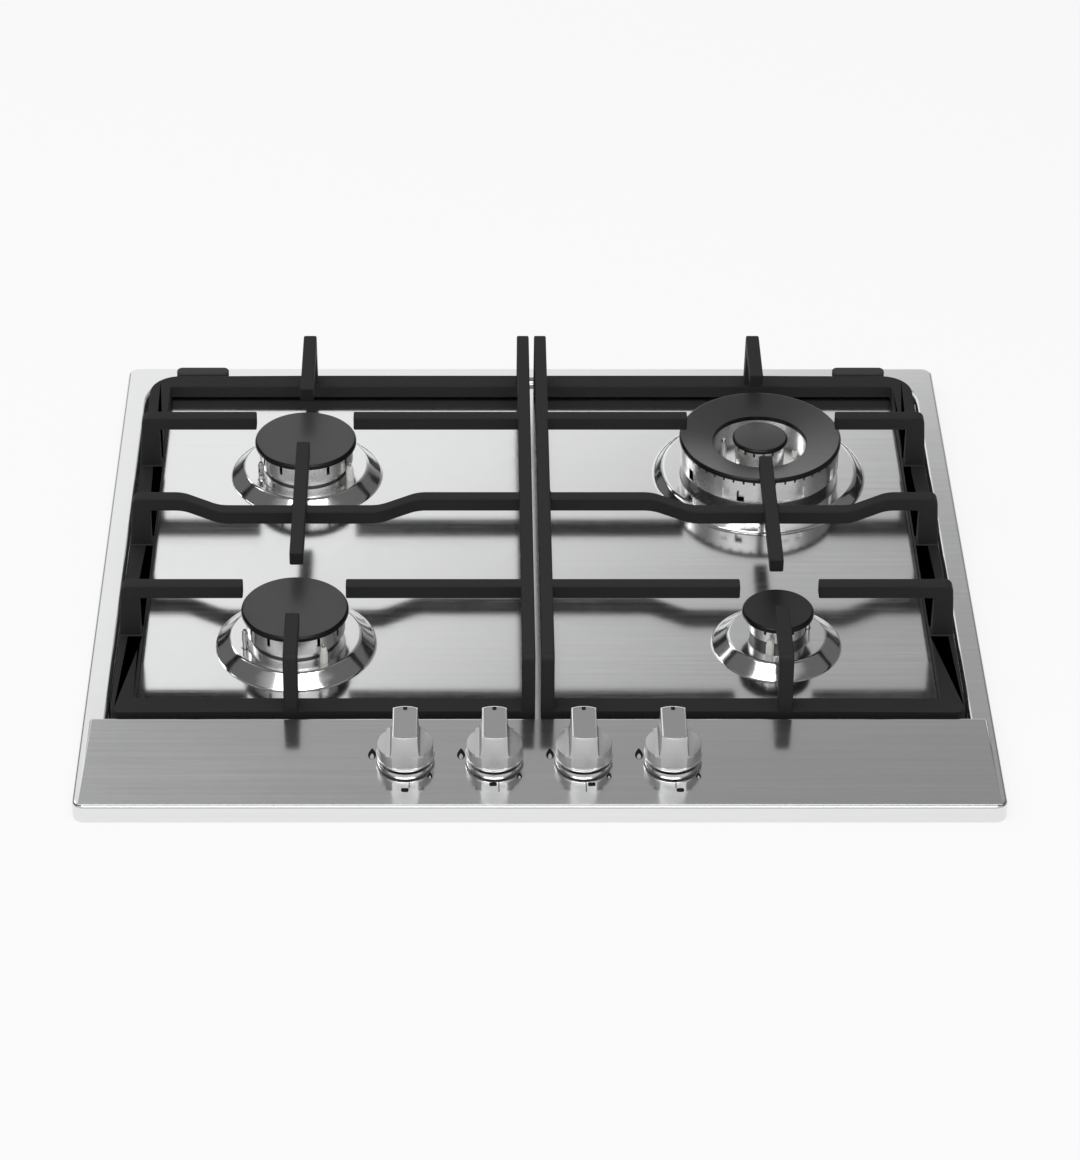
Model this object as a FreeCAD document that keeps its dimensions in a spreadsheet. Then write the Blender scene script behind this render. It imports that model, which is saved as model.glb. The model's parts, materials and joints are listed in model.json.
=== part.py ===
"""Built-in gas cooktop with four burners, two cast iron pan supports and front controls.

Frame: origin at the centre of the worktop cut-out, on the worktop's surface, +X to the right,
+Y to the back, +Z up, millimetres. Every piece is modelled where it sits in the cooktop.
"""
import FreeCAD, Part
import math
import os
import Sketcher

SIZES = (
    # steel top
    ("plate_width", 590, "steel top, left to right"),
    ("plate_depth", 520, "steel top, front to back"),
    ("plate_corner", 8, "outer corner radius in plan"),
    ("sheet_thick", 1, "steel sheet"),
    ("rim_height", 13, "rim over the worktop"),
    ("skirt_clear", 0.5, "skirt edge over the worktop"),
    ("rim_round", 2.3, "bend between rim and skirt"),
    ("rim_width", 13.3, "flat rim round the sunken area"),
    ("recess_depth", 5, "sunken area below the rim"),
    ("recess_corner", 32, "rear corners of the sunken area"),
    ("recess_front_corner", 6, "front corners of the sunken area"),
    ("recess_slope", 3.5, "plan width of the sunken area's sloping wall"),
    ("panel_depth", 87, "control panel, front to back"),
    ("panel_rise", 4.5, "rear edge of the panel over the rim"),
    ("panel_lip", 0.3, "front edge of the panel over the rim"),
    ("panel_side", 4.2, "panel side to the edge of the top"),
    ("panel_bevel", 3, "plan width of the panel's side slopes at the rear"),
    ("panel_round", 2, "rounding of the panel's rear edge"),
    ("plateau_round", 4, "rounding of the plateaus' upper edges"),
    ("floor_round", 3, "rounding where slopes meet the sunken floor"),
    # worktop and burner box
    ("cutout_width", "=plate_width - 30", "worktop cut-out, left to right"),
    ("cutout_depth", "=plate_depth - 30", "worktop cut-out, front to back"),
    ("box_clear", 4, "burner box to the edge of the cut-out"),
    ("box_drop", 44, "underside of the burner box below the worktop"),
    ("box_flange", 12, "flange of the burner box, outwards"),
    ("box_step", 14, "raised rear corners of the burner box"),
    ("step_width", 52, "raised corner, left to right"),
    ("step_depth", 60, "raised corner, front to back"),
    ("seal_width", 7, "foam seal"),
    ("vent_length", 60, "air slot in the box floor"),
    ("vent_width", 5, "air slot in the box floor"),
    ("vent_pitch", 18, "air slots, middle to middle"),
    ("vent_count", 6, "air slots"),
    # burner places
    ("burner_x", 160, "burners from the middle"),
    ("front_burner_y", 79.5, "front burners in front of the middle"),
    ("rear_burner_y", 125, "rear burners behind the middle"),
    # shared burner sizes
    ("cup_wall", 3, "wall of the burner cups"),
    ("burner_drop", 18, "underside of the burner cups below the worktop"),
    ("boss_radius", 9, "gas boss under a cup"),
    ("boss_drop", 14, "gas boss below its cup"),
    ("window_width", 12, "air window in a cup"),
    ("window_height", 10, "air window in a cup"),
    ("window_count", 3, "air windows of a cup"),
    ("spigot_length", 4, "crown spigot inside its cup"),
    ("spigot_wall", 2, "crown spigot"),
    ("crown_wall", 3, "outer wall of a crown"),
    ("crown_floor", 3, "floor of a crown"),
    ("tube_wall", 2, "mixing tube of a crown"),
    ("lip_depth", 2, "locating lip under a cap"),
    ("lip_width", 2, "locating lip under a cap"),
    ("cap_chamfer", 1.2, "upper edge of a cap"),
    ("seat_clear", 0.4, "radial gap of spigots and lips"),
    ("hole_clear", 0.5, "gap round what passes through the steel top"),
    ("injector_thread", 3, "radius of the injector thread"),
    ("injector_head", 4.6, "radius of the injector head"),
    ("injector_rise", 5, "injector head over the cup floor"),
    ("injector_length", 6, "injector thread below the cup floor"),
    ("jet_radius", 0.5, "gas jet"),
    ("electrode_radius", 2.7, "ceramic of an electrode"),
    ("electrode_pin", 0.9, "steel pin of an electrode"),
    ("electrode_point", 4, "steel pin over the ceramic"),
    ("electrode_drop", 8, "ceramic below the burner's mounting"),
    ("probe_radius", 2.1, "thermocouple probe"),
    ("probe_nut", 4.5, "thermocouple nut"),
    ("probe_nut_height", 7, "thermocouple nut"),
    ("bracket_thick", 1.5, "burner brackets under the steel top"),
    ("bracket_clear", 1.6, "burner brackets to the slope of their plateau"),
    ("cup_screw", 1.1, "radius of the screws of the burner cups"),
    ("cup_screw_head", 2.2, "head radius of the screws of the burner cups"),
    ("cup_screw_depth", 4, "screws inside the burner cups"),
    ("screw_clear", 0.1, "radial gap of screws in their holes"),
    # front left and rear left burner
    ("semi_plateau", 43.6, "top radius of the plateau"),
    ("semi_plateau_height", 8.5, "plateau over the sunken area"),
    ("semi_plateau_slope", 9.5, "plan width of the plateau's slope"),
    ("semi_cup", 28.5, "upper ring of the cup"),
    ("semi_cup_rise", 5.5, "cup over the plateau"),
    ("semi_throat", 24, "neck of the cup"),
    ("semi_crown", 33, "crown radius"),
    ("semi_crown_height", 13, "crown"),
    ("semi_bore", 9, "mixing bore"),
    ("semi_cap", 35.6, "cap radius"),
    ("semi_cap_thick", 3.6, "cap"),
    ("semi_slots", 12, "flame slots"),
    ("semi_slot_width", 2.2, "flame slot"),
    ("semi_slot_height", 8, "flame slot"),
    ("semi_tip", 34, "pan support fingers from the burner's axis"),
    # front right burner
    ("aux_plateau", 32.8, "top radius of the plateau"),
    ("aux_plateau_height", 8.5, "plateau over the sunken area"),
    ("aux_plateau_slope", 10, "plan width of the plateau's slope"),
    ("aux_cup", 18, "upper ring of the cup"),
    ("aux_cup_rise", 5, "cup over the plateau"),
    ("aux_throat", 14, "neck of the cup"),
    ("aux_crown", 18.6, "crown radius"),
    ("aux_crown_height", 12, "crown"),
    ("aux_bore", 5, "mixing bore"),
    ("aux_cap", 23.7, "cap radius"),
    ("aux_cap_thick", 3.5, "cap"),
    ("aux_slots", 12, "flame slots"),
    ("aux_slot_width", 1.8, "flame slot"),
    ("aux_slot_height", 6, "flame slot"),
    ("aux_tip", 26, "pan support fingers from the burner's axis"),
    # rear right burner
    ("triple_plateau", 68.5, "top radius of the plateau"),
    ("triple_plateau_height", 6.5, "plateau over the sunken area"),
    ("triple_plateau_slope", 5.5, "plan width of the plateau's slope"),
    ("triple_cup", 50, "upper ring of the cup"),
    ("triple_cup_rise", 5.5, "cup over the plateau"),
    ("triple_throat", 44, "neck of the cup"),
    ("triple_crown", 55.8, "crown radius"),
    ("triple_crown_height", 18, "crown"),
    ("triple_bore", 8, "mixing bore"),
    ("triple_cap", 56.8, "ring cap radius"),
    ("triple_cap_thick", 3.5, "ring cap"),
    ("triple_slots", 36, "flame slots of the outer ring"),
    ("triple_slot_width", 1.6, "flame slot"),
    ("triple_slot_height", 3, "flame slot"),
    ("triple_tip", 52, "pan support fingers from the burner's axis"),
    ("triple_hole", 32.8, "hole of the ring cap"),
    ("triple_dish", 5.5, "inner edge of the ring cap below its outer edge"),
    ("triple_inner_wall", 34, "inner wall of the outer ring, inside radius"),
    ("triple_inner_thick", 2.5, "inner wall of the outer ring"),
    ("triple_hub", 17.4, "inner crown"),
    ("triple_hub_height", 17.7, "inner crown over the crown's underside"),
    ("triple_hub_cap", 19.4, "inner cap radius"),
    ("triple_hub_cap_thick", 3, "inner cap"),
    ("triple_hub_crest", 1.4, "middle of the inner cap over its edge"),
    ("triple_hub_slots", 16, "flame slots of the inner ring"),
    ("triple_hub_slot_height", 4, "flame slot of the inner ring"),
    ("port_width", 6, "flame window in the outer ring"),
    ("port_height", 5, "flame window in the outer ring"),
    ("port_rise", 5, "flame window over the crown's underside"),
    ("port_count", 12, "flame windows"),
    # pan supports
    ("support_gap", 1.9, "pan support to the middle"),
    ("support_half", 277, "outer side of a pan support from the middle"),
    ("support_front", 168, "front of the pan supports in front of the middle"),
    ("support_back", 240, "back of the pan supports behind the middle"),
    ("frame_bar", 15, "width of the outer frame's bars"),
    ("frame_height", 9.5, "height of the outer frame's bars"),
    ("frame_corner", 21, "rear outer corner radius of the frame"),
    ("frame_front_corner", 6, "front outer corner radius of the frame"),
    ("frame_inner_corner", 2, "inner corner radius of the frame"),
    ("foot_height", 1.2, "rubber feet under the frame"),
    ("foot_radius", 4, "rubber foot"),
    ("foot_peg", 2, "radius of the peg that holds a foot"),
    ("peg_length", 4, "peg inside the frame"),
    ("support_height", 50.5, "fingers over the sunken area"),
    ("finger_width", 9.2, "fingers and arms"),
    ("finger_height", 10, "fingers and arms"),
    ("rail_width", 8.6, "middle rail"),
    ("rail_lean_front", 6.5, "front end of the rail behind the frame's face"),
    ("rail_lean_back", 6.5, "rear end of the rail in front of the frame's face"),
    ("post_depth", 13, "posts of rails and fingers, front to back"),
    ("post_width", 14.5, "side posts, left to right"),
    ("wave_drop", 2, "wavy bar below the fingers"),
    ("wave_back_y", 26.6, "ends of the wavy bar behind the middle"),
    ("wave_front_y", 10.7, "belly of the wavy bar behind the middle"),
    ("wave_ramp", 26, "ramps of the wavy bar, left to right"),
    ("wave_belly", 54, "half of the belly, from the burner's axis"),
    ("finger_round", 1.2, "rounding of the fingers' ends"),
    ("arm_lean", 2.8, "top of the side posts inside the frame's outer side"),
    ("bend_round", 5, "bends from the posts to the arms, fingers and rails"),
    ("wave_round", 20, "bends of the wavy bar"),
    # knobs and taps
    ("knob_y", 214, "knobs in front of the middle"),
    ("knob_pitch", 56.8, "knobs, middle to middle"),
    ("knob_radius", 18.7, "knob at its foot"),
    ("knob_top_radius", 17.7, "knob at its top"),
    ("knob_height", 26, "knob"),
    ("knob_gap", 2.5, "gap under the knob"),
    ("knob_wall", 2.2, "knob wall"),
    ("knob_cavity", 9, "hollow under the knob"),
    ("knob_boss", 6, "boss round the knob's bore"),
    ("knob_grip", 8, "half the grip's width at its top"),
    ("knob_grip_foot", 11, "half the grip's width at its foot"),
    ("knob_shoulder", 12, "grip over the knob's shoulders"),
    ("knob_notch", 1.1, "half the marker notch's width"),
    ("knob_notch_length", 3, "marker notch"),
    ("knob_notch_depth", 0.8, "marker notch"),
    ("knob_round", 0.8, "rounded edge of the knob"),
    ("spindle_radius", 3, "tap spindle"),
    ("spindle_flat", 2, "flat of the spindle from its axis"),
    ("spindle_grip", 12, "spindle inside the knob"),
    ("spindle_drop", 10, "spindle below the worktop"),
    ("running_clear", 0.05, "running fit of turning and sliding pieces"),
    ("spindle_hole", 6.5, "hole in the panel"),
    ("bezel_radius", 10, "bezel ring on the panel"),
    ("bezel_height", 1.2, "bezel ring over the panel"),
    ("plug_radius", 6.5, "turning plug of a tap"),
    ("plug_top", 3.5, "plug over the worktop plane"),
    ("plug_bottom", 22, "plug below the worktop plane"),
    ("tap_width", 22, "tap body"),
    ("tap_front", 11, "tap body in front of its spindle"),
    ("tap_back", 11, "tap body behind its spindle"),
    ("tap_bottom", 34, "tap body below the worktop plane"),
    ("tap_shoulder", 4, "tap shoulder below the worktop plane"),
    ("collar_radius", 9, "collar of a tap"),
    ("outlet_radius", 6.5, "outlet of a tap"),
    ("outlet_length", 8, "outlet of a tap"),
    # gas way
    ("pipe_radius", 4, "gas pipes"),
    ("pipe_wall", 1, "gas pipes"),
    ("pipe_bend", 16, "bends of the gas pipes"),
    ("pipe_z", 26, "gas pipes below the worktop plane"),
    ("pipe_seat", 3, "pipe inside its outlet and boss"),
    ("front_pipe_y", 150, "front gas pipes turn in front of the middle"),
    ("rear_pipe_y", 55, "rear gas pipes turn behind the middle"),
    ("manifold_radius", 7, "gas manifold"),
    ("manifold_wall", 1.5, "gas manifold"),
    ("manifold_z", 16, "gas manifold below the worktop plane"),
    ("manifold_end", 108, "left end of the manifold from the middle"),
    ("manifold_bend", 24, "bend of the manifold"),
    ("inlet_x", "=cutout_width / 2 - 30", "gas inlet right of the middle"),
    ("inlet_y", "=cutout_depth / 2 - 31", "gas inlet behind the middle"),
    ("inlet_radius", 10.48, "G1/2 thread of the inlet"),
    ("inlet_body", 13, "inlet elbow"),
    ("inlet_bore", 6, "inlet elbow"),
    ("inlet_reach", 18, "inlet elbow, middle to the manifold's end"),
    ("thread_clear", 0.5, "inlet thread in the box floor"),
    # electrics
    ("spark_width", 74, "spark generator"),
    ("spark_depth", 42, "spark generator"),
    ("spark_height", 26, "spark generator"),
    ("spark_y", 196, "spark generator behind the middle"),
    ("spark_post", 3, "terminals of the spark generator"),
    ("spark_post_length", 7, "terminals of the spark generator"),
    ("terminal_width", 44, "mains terminal block"),
    ("terminal_depth", 24, "mains terminal block"),
    ("terminal_height", 20, "mains terminal block"),
    ("terminal_x", 190, "mains terminal block left of the middle"),
    ("terminal_hole", 3, "clamping screw of a terminal"),
    ("gland_x", "=cutout_width / 2 - 30", "cable gland left of the middle"),
    ("gland_radius", 8, "cable gland"),
    ("gland_flange", 12, "flange of the cable gland"),
    ("gland_flange_height", 3, "flange of the cable gland"),
    ("gland_bore", 3.9, "cable bore"),
    ("lead_radius", 1.2, "ignition leads"),
    ("lead_z", 36, "ignition leads below the worktop plane"),
    ("lead_start", 10, "straight start of an ignition lead"),
    ("lead_bend", 5, "bends of the leads"),
    ("probe_lead_radius", 0.8, "thermocouple leads"),
    ("probe_lead_z", 40, "thermocouple leads below the worktop plane"),
    ("switch_height", 7, "switch strip over the tap shoulders"),
    ("switch_depth", 24, "switch strip"),
    ("switch_end", 16, "switch strip beyond the outer spindles"),
    # small pieces
    ("cover_x", 240.5, "hinge slot covers from the middle"),
    ("cover_width", 38, "hinge slot cover"),
    ("cover_depth", 10, "hinge slot cover"),
    ("cover_height", 2.6, "hinge slot cover"),
    ("cover_edge", 3, "hinge slot cover from the rear edge of the top"),
    ("slot_width", 28, "hinge slot"),
    ("slot_depth", 5, "hinge slot"),
    ("cover_peg", 6, "cover's peg below the rim"),
    ("clamp_width", 18, "worktop clamp"),
    ("clamp_thick", 2, "worktop clamp"),
    ("clamp_reach", 12, "worktop clamp, outwards"),
    ("clamp_height", 26, "worktop clamp"),
    ("clamp_y", 150, "worktop clamps from the middle"),
    ("clamp_z", 38, "foot of the worktop clamps below the worktop"),
    ("screw_radius", 2, "screw shank"),
    ("screw_head", 3.8, "screw head"),
    ("screw_head_height", 2.2, "screw head"),
)

BURNERS = (
    # name, kind, side of the middle, row
    ("front_left", "semi", -1, "front"),
    ("rear_left", "semi", -1, "rear"),
    ("front_right", "aux", 1, "front"),
    ("rear_right", "triple", 1, "rear"),
)
ELECTRODE_ANGLES = {"front_left": -57, "rear_left": -30, "front_right": -106, "rear_right": 10}
PROBE_ANGLES = {"front_left": 205, "rear_left": 211, "front_right": 20, "rear_right": 165}
SCREW_ANGLES = (90, 270)
KNOB_ORDER = ("front_left", "rear_left", "rear_right", "front_right")
LEAD_ORDER = ("rear_left", "front_left", "front_right", "rear_right")
FULL_TURN = 360
TOUCH = 0.001

doc = FreeCAD.newDocument("gas_cooktop")
sheet = doc.addObject("Spreadsheet::Sheet", "sizes")
nodes = {}


class Dim:
    """A length with the sheet expression that gives it."""

    def __init__(self, value, text):
        self.value = float(value)
        self.text = text

    def __add__(self, other):
        other = as_dim(other)
        return Dim(self.value + other.value, f"({self.text} + {other.text})")

    def __sub__(self, other):
        other = as_dim(other)
        return Dim(self.value - other.value, f"({self.text} - {other.text})")

    def __mul__(self, other):
        other = as_dim(other)
        return Dim(self.value * other.value, f"({self.text} * {other.text})")

    def __truediv__(self, other):
        other = as_dim(other)
        return Dim(self.value / other.value, f"({self.text} / {other.text})")

    def __neg__(self):
        return self * -1

    def __radd__(self, other):
        return as_dim(other) + self

    def __rsub__(self, other):
        return as_dim(other) - self

    def __rmul__(self, other):
        return as_dim(other) * self


def as_dim(number):
    """Returns the number as a Dim."""
    return number if isinstance(number, Dim) else Dim(number, f"({number})")


def fill_sheet():
    """Writes the sizes into the sheet, one row each."""
    for row, (alias, value, meaning) in enumerate(SIZES, 1):
        sheet.set(f"A{row}", alias)
        sheet.set(f"B{row}", str(value))
        sheet.set(f"C{row}", meaning)
        sheet.setAlias(f"B{row}", alias)
    doc.recompute()


def size(alias):
    """Returns a size of the sheet as a Dim."""
    return Dim(sheet.get(alias), f"sizes.{alias}")


def bind(obj, prop, dim):
    """Binds a property of an object to the sheet."""
    obj.setExpression(prop, as_dim(dim).text)


def vector(x, y, z=0):
    """Returns a vector from Dims or numbers."""
    return FreeCAD.Vector(as_dim(x).value, as_dim(y).value, as_dim(z).value)


# ---------------------------------------------------------------- bodies and sketches


def new_body(label, x=None, y=None, z=None):
    """Starts a body, placed at x, y, z."""
    body = doc.addObject("PartDesign::Body", label)
    body.Label = label
    for axis, dim in (("x", x), ("y", y), ("z", z)):
        if dim is not None:
            bind(body, f"Placement.Base.{axis}", dim)
    return body


def origin_part(body, role):
    """Returns a plane or an axis of the body's own origin."""
    return next(part for part in body.Origin.OriginFeatures if part.Role == role)


def new_sketch(body, role, offset=None):
    """Starts a sketch on one of the body's planes, moved along the plane's normal."""
    sketch = body.newObject("Sketcher::SketchObject", f"{body.Name}_sketch")
    sketch.AttachmentSupport = (origin_part(body, role), [""])
    sketch.MapMode = "FlatFace"
    if offset is not None:
        bind(sketch, "AttachmentOffset.Base.z", offset)
    return sketch


def pin(sketch, geometry, end, spot):
    """Holds a point of the sketch at a spot given by sizes."""
    for kind, dim in (("DistanceX", spot[0]), ("DistanceY", spot[1])):
        dim = as_dim(dim)
        index = sketch.addConstraint(Sketcher.Constraint(kind, -1, 1, geometry, end, dim.value))
        sketch.setExpression(f"Constraints[{index}]", dim.text)


def add_polygon(sketch, corners):
    """Draws a closed outline of straight lines through the corners."""
    first = sketch.GeometryCount
    count = len(corners)
    spots = [vector(*corner) for corner in corners]
    for index in range(count):
        sketch.addGeometry(Part.LineSegment(spots[index], spots[(index + 1) % count]), False)
    for index in range(count):
        after = first + (index + 1) % count
        sketch.addConstraint(Sketcher.Constraint("Coincident", first + index, 2, after, 1))
        pin(sketch, first + index, 1, corners[index])


def add_circle(sketch, x, y, radius):
    """Draws a circle."""
    radius = as_dim(radius)
    circle = Part.Circle(vector(x, y), FreeCAD.Vector(0, 0, 1), radius.value)
    geometry = sketch.addGeometry(circle, False)
    pin(sketch, geometry, 3, (x, y))
    index = sketch.addConstraint(Sketcher.Constraint("Radius", geometry, radius.value))
    sketch.setExpression(f"Constraints[{index}]", radius.text)


def add_rounded(sketch, corners, radii, closed=True):
    """Draws lines along X and Y with quarter turns of the given radii at the corners.

    An open line has a corner at each end, whose radius is None.
    """
    count = len(corners)
    spots = [vector(*corner) for corner in corners]

    def step(start, end):
        """Returns the unit step along X or Y from one corner towards another."""
        way = spots[end] - spots[start]
        way.normalize()
        return way

    def shifted(index, way, radius):
        """Returns the corner moved by its radius along the way."""
        x, y = corners[index]
        return (as_dim(x) + round(way.x) * radius, as_dim(y) + round(way.y) * radius)

    entries = []
    exits = []
    for index in range(count):
        if radii[index] is None:
            entries.append(corners[index])
            exits.append(corners[index])
            continue
        entries.append(shifted(index, step(index, (index - 1) % count), radii[index]))
        exits.append(shifted(index, step(index, (index + 1) % count), radii[index]))
    lines = []
    for index in range(count if closed else count - 1):
        after = (index + 1) % count
        line = Part.LineSegment(vector(*exits[index]), vector(*entries[after]))
        geometry = sketch.addGeometry(line, False)
        pin(sketch, geometry, 1, exits[index])
        pin(sketch, geometry, 2, entries[after])
        lines.append(geometry)
    for index in range(count):
        if radii[index] is None:
            continue
        start = vector(*entries[index])
        end = vector(*exits[index])
        centre = start + end - spots[index]
        middle = centre + (spots[index] - centre).normalize() * radii[index].value
        arc = Part.Arc(start, middle, end)
        geometry = sketch.addGeometry(arc, False)
        turned = (sketch.getPoint(geometry, 1) - start).Length > TOUCH
        before = lines[index - 1]
        after = lines[index % len(lines)]
        sketch.addConstraint(Sketcher.Constraint("Coincident", geometry, 2 if turned else 1, before, 2))
        sketch.addConstraint(Sketcher.Constraint("Coincident", geometry, 1 if turned else 2, after, 1))
        number = sketch.addConstraint(Sketcher.Constraint("Radius", geometry, radii[index].value))
        sketch.setExpression(f"Constraints[{number}]", radii[index].text)


def finish_feature(body, feature):
    """Makes the feature the body's tip."""
    body.Tip = feature
    return feature


def pad(body, sketch, length, middle=False):
    """Pads a sketch, both ways from its plane where middle is set."""
    feature = body.newObject("PartDesign::Pad", f"{body.Name}_pad")
    feature.Profile = sketch
    bind(feature, "Length", length)
    if middle:
        feature.SideType = "Symmetric"
    return finish_feature(body, feature)


def pocket(body, sketch, length, middle=False, reverse=False):
    """Cuts a sketch out of the body."""
    feature = body.newObject("PartDesign::Pocket", f"{body.Name}_pocket")
    feature.Profile = sketch
    bind(feature, "Length", length)
    if middle:
        feature.SideType = "Symmetric"
    feature.Reversed = reverse
    return finish_feature(body, feature)


def turn(body, corners):
    """Turns a closed section of radius and height corners about the body's Z axis."""
    sketch = new_sketch(body, "XZ_Plane")
    add_polygon(sketch, corners)
    feature = body.newObject("PartDesign::Revolution", f"{body.Name}_turned")
    feature.Profile = sketch
    feature.ReferenceAxis = (sketch, ["V_Axis"])
    feature.Angle = FULL_TURN
    return finish_feature(body, feature)


def ring_of(body, feature, count):
    """Repeats a feature round the body's Z axis."""
    pattern = body.newObject("PartDesign::PolarPattern", f"{body.Name}_ring")
    pattern.Originals = [feature]
    pattern.Axis = (origin_part(body, "Z_Axis"), [""])
    pattern.Angle = FULL_TURN
    bind(pattern, "Occurrences", count)
    return finish_feature(body, pattern)


def round_edges(body, radius, wanted):
    """Rounds the edges of the body that the test wants."""
    doc.recompute()
    base = body.Tip
    names = [f"Edge{number}" for number, edge in enumerate(base.Shape.Edges, 1) if wanted(edge)]
    feature = body.newObject("PartDesign::Fillet", f"{body.Name}_round")
    feature.Base = (base, names)
    bind(feature, "Radius", radius)
    return finish_feature(body, feature)


def flat_at(height):
    """Returns a test for edges that lie at a height."""
    def wanted(edge):
        box = edge.BoundBox
        return abs(box.ZMin - height) < TOUCH and abs(box.ZMax - height) < TOUCH
    return wanted


def is_circle(edge):
    """Tells whether an edge is a whole circle."""
    return edge.isClosed() and isinstance(edge.Curve, Part.Circle)


def keep(label, obj):
    """Files an object as a sub-part under its label."""
    obj.Label = label
    nodes[label] = obj
    return obj


def group(label, members):
    """Files several separate solids as one sub-part."""
    compound = doc.addObject("Part::Compound", label)
    compound.Links = members
    return keep(label, compound)


def cylinder(label, x, y, z, radius, height):
    """Makes an upright cylinder that stands at x, y, z."""
    solid = doc.addObject("Part::Cylinder", label)
    bind(solid, "Radius", radius)
    bind(solid, "Height", height)
    for axis, dim in (("x", x), ("y", y), ("z", z)):
        bind(solid, f"Placement.Base.{axis}", dim)
    return solid


def block(label, x, y, z, width, depth, height):
    """Makes a box whose middle in plan is at x, y and whose foot is at z."""
    solid = doc.addObject("Part::Box", label)
    bind(solid, "Length", width)
    bind(solid, "Width", depth)
    bind(solid, "Height", height)
    bind(solid, "Placement.Base.x", as_dim(x) - as_dim(width) / 2)
    bind(solid, "Placement.Base.y", as_dim(y) - as_dim(depth) / 2)
    bind(solid, "Placement.Base.z", z)
    return solid


def tube(label, height, corners, bend, radius, wall):
    """Makes a bent tube at a height; it leaves its first corner along Y."""
    body = new_body(label)
    path = new_sketch(body, "XY_Plane", height)
    bends = [None] + [bend] * (len(corners) - 2) + [None]
    add_rounded(path, corners, bends, closed=False)
    section = new_sketch(body, "XZ_Plane", -as_dim(corners[0][1]))
    add_circle(section, corners[0][0], height, radius)
    add_circle(section, corners[0][0], height, radius - wall)
    doc.recompute()
    feature = body.newObject("PartDesign::AdditivePipe", f"{body.Name}_pipe")
    feature.Profile = section
    feature.Spine = (path, [f"Edge{number}" for number in range(1, len(path.Shape.Edges) + 1)])
    finish_feature(body, feature)
    return body


# ---------------------------------------------------------------- shared places


class Burner:
    """The sizes and the place of one burner."""

    def __init__(self, name, kind, side, row):
        self.name = name
        self.kind = kind
        self.x = size("burner_x") * side
        self.y = size("rear_burner_y") if row == "rear" else -size("front_burner_y")
        self.plateau = self.of("plateau")
        self.slope = self.of("plateau_slope")
        self.plateau_top = recess_floor() + self.of("plateau_height")
        self.cup = self.of("cup")
        self.throat = self.of("throat")
        self.crown = self.of("crown")
        self.crown_bottom = self.plateau_top + self.of("cup_rise")
        self.crown_top = self.crown_bottom + self.of("crown_height")
        self.bore = self.of("bore")
        self.cap = self.of("cap")
        self.cap_top = self.crown_top + self.of("cap_thick")
        self.spigot = self.throat - size("cup_wall") - size("seat_clear")
        if kind == "triple":
            middle = size("triple_hub") + size("triple_inner_wall")
            self.electrode_circle = middle / 2
        else:
            self.electrode_circle = self.crown + size("electrode_radius") + size("hole_clear")

        self.bracket_bottom = self.plateau_top - size("sheet_thick") - size("bracket_thick")
        self.mounting = -size("burner_drop") if kind == "triple" else self.bracket_bottom

    def of(self, name):
        """Returns a size of this burner's kind."""
        return size(f"{self.kind}_{name}")

    def screw_place(self, angle):
        """Returns the place of a cup screw at an angle."""
        return self.around(angle, (self.throat + size("hole_clear") + self.cup) / 2)

    def around(self, angle, circle):
        """Returns the place at an angle on a circle about the burner."""
        return (
            self.x + circle * Dim(math.cos(math.radians(angle)), f"cos({angle} deg)"),
            self.y + circle * Dim(math.sin(math.radians(angle)), f"sin({angle} deg)"),
        )

    def electrode_place(self):
        """Returns the place of the ignition electrode."""
        return self.around(ELECTRODE_ANGLES[self.name], self.electrode_circle)

    def probe_place(self):
        """Returns the place of the thermocouple."""
        return self.around(PROBE_ANGLES[self.name], self.electrode_circle)


def recess_floor():
    """Returns the height of the sunken area."""
    return size("rim_height") - size("recess_depth")


def frame_bottom():
    """Returns the underside of the pan supports' outer frames."""
    return recess_floor() + size("foot_height")


def frame_top():
    """Returns the top of the pan supports' outer frames."""
    return frame_bottom() + size("frame_height")


def support_top():
    """Returns the plane that pans stand on."""
    return recess_floor() + size("support_height")


def panel_front():
    """Returns where the sloping panel starts behind the front bend."""
    return -(size("plate_depth") / 2) + size("rim_round")


def panel_back():
    """Returns where the sloping panel ends."""
    return -(size("plate_depth") / 2) + size("panel_depth")


def panel_height(y):
    """Returns the height of the panel at a place along Y."""
    climb = size("panel_rise") - size("panel_lip")
    share = (y - panel_front()) / (panel_back() - panel_front())
    return size("rim_height") + size("panel_lip") + climb * share


def knob_row():
    """Returns the knobs' place along Y."""
    return -size("knob_y")


def knob_x(name):
    """Returns the place of a burner's knob along X."""
    middle = (len(KNOB_ORDER) - 1) / 2
    return size("knob_pitch") * (KNOB_ORDER.index(name) - middle)


def knob_bottom():
    """Returns the underside of the knobs, clear of the panel's highest point below them."""
    return panel_height(knob_row() + size("knob_radius")) + size("knob_gap")


def box_bottom():
    """Returns the underside of the burner box."""
    return -size("box_drop")


def box_half_width():
    """Returns half the burner box's width."""
    return size("cutout_width") / 2 - size("box_clear")


def box_half_depth():
    """Returns half the burner box's depth."""
    return size("cutout_depth") / 2 - size("box_clear")


def box_top():
    """Returns the top of the burner box's flange, under the sunken area."""
    return recess_floor() - size("sheet_thick")


# ---------------------------------------------------------------- steel top


def recess_corners(outwards, inset):
    """Returns the outline of the sunken area, widened by outwards and by inset."""
    side = size("plate_width") / 2 - size("rim_width") + outwards + inset
    back = size("plate_depth") / 2 - size("rim_width") + outwards + inset
    front = panel_back() - inset
    return [(-side, front), (side, front), (side, back), (-side, back)]


def recess_radii(outwards, inset):
    """Returns the corner radii of the sunken area's outline."""
    small = size("recess_front_corner") + inset
    large = size("recess_corner") + outwards + inset
    return [small, small, large, large]


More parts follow.
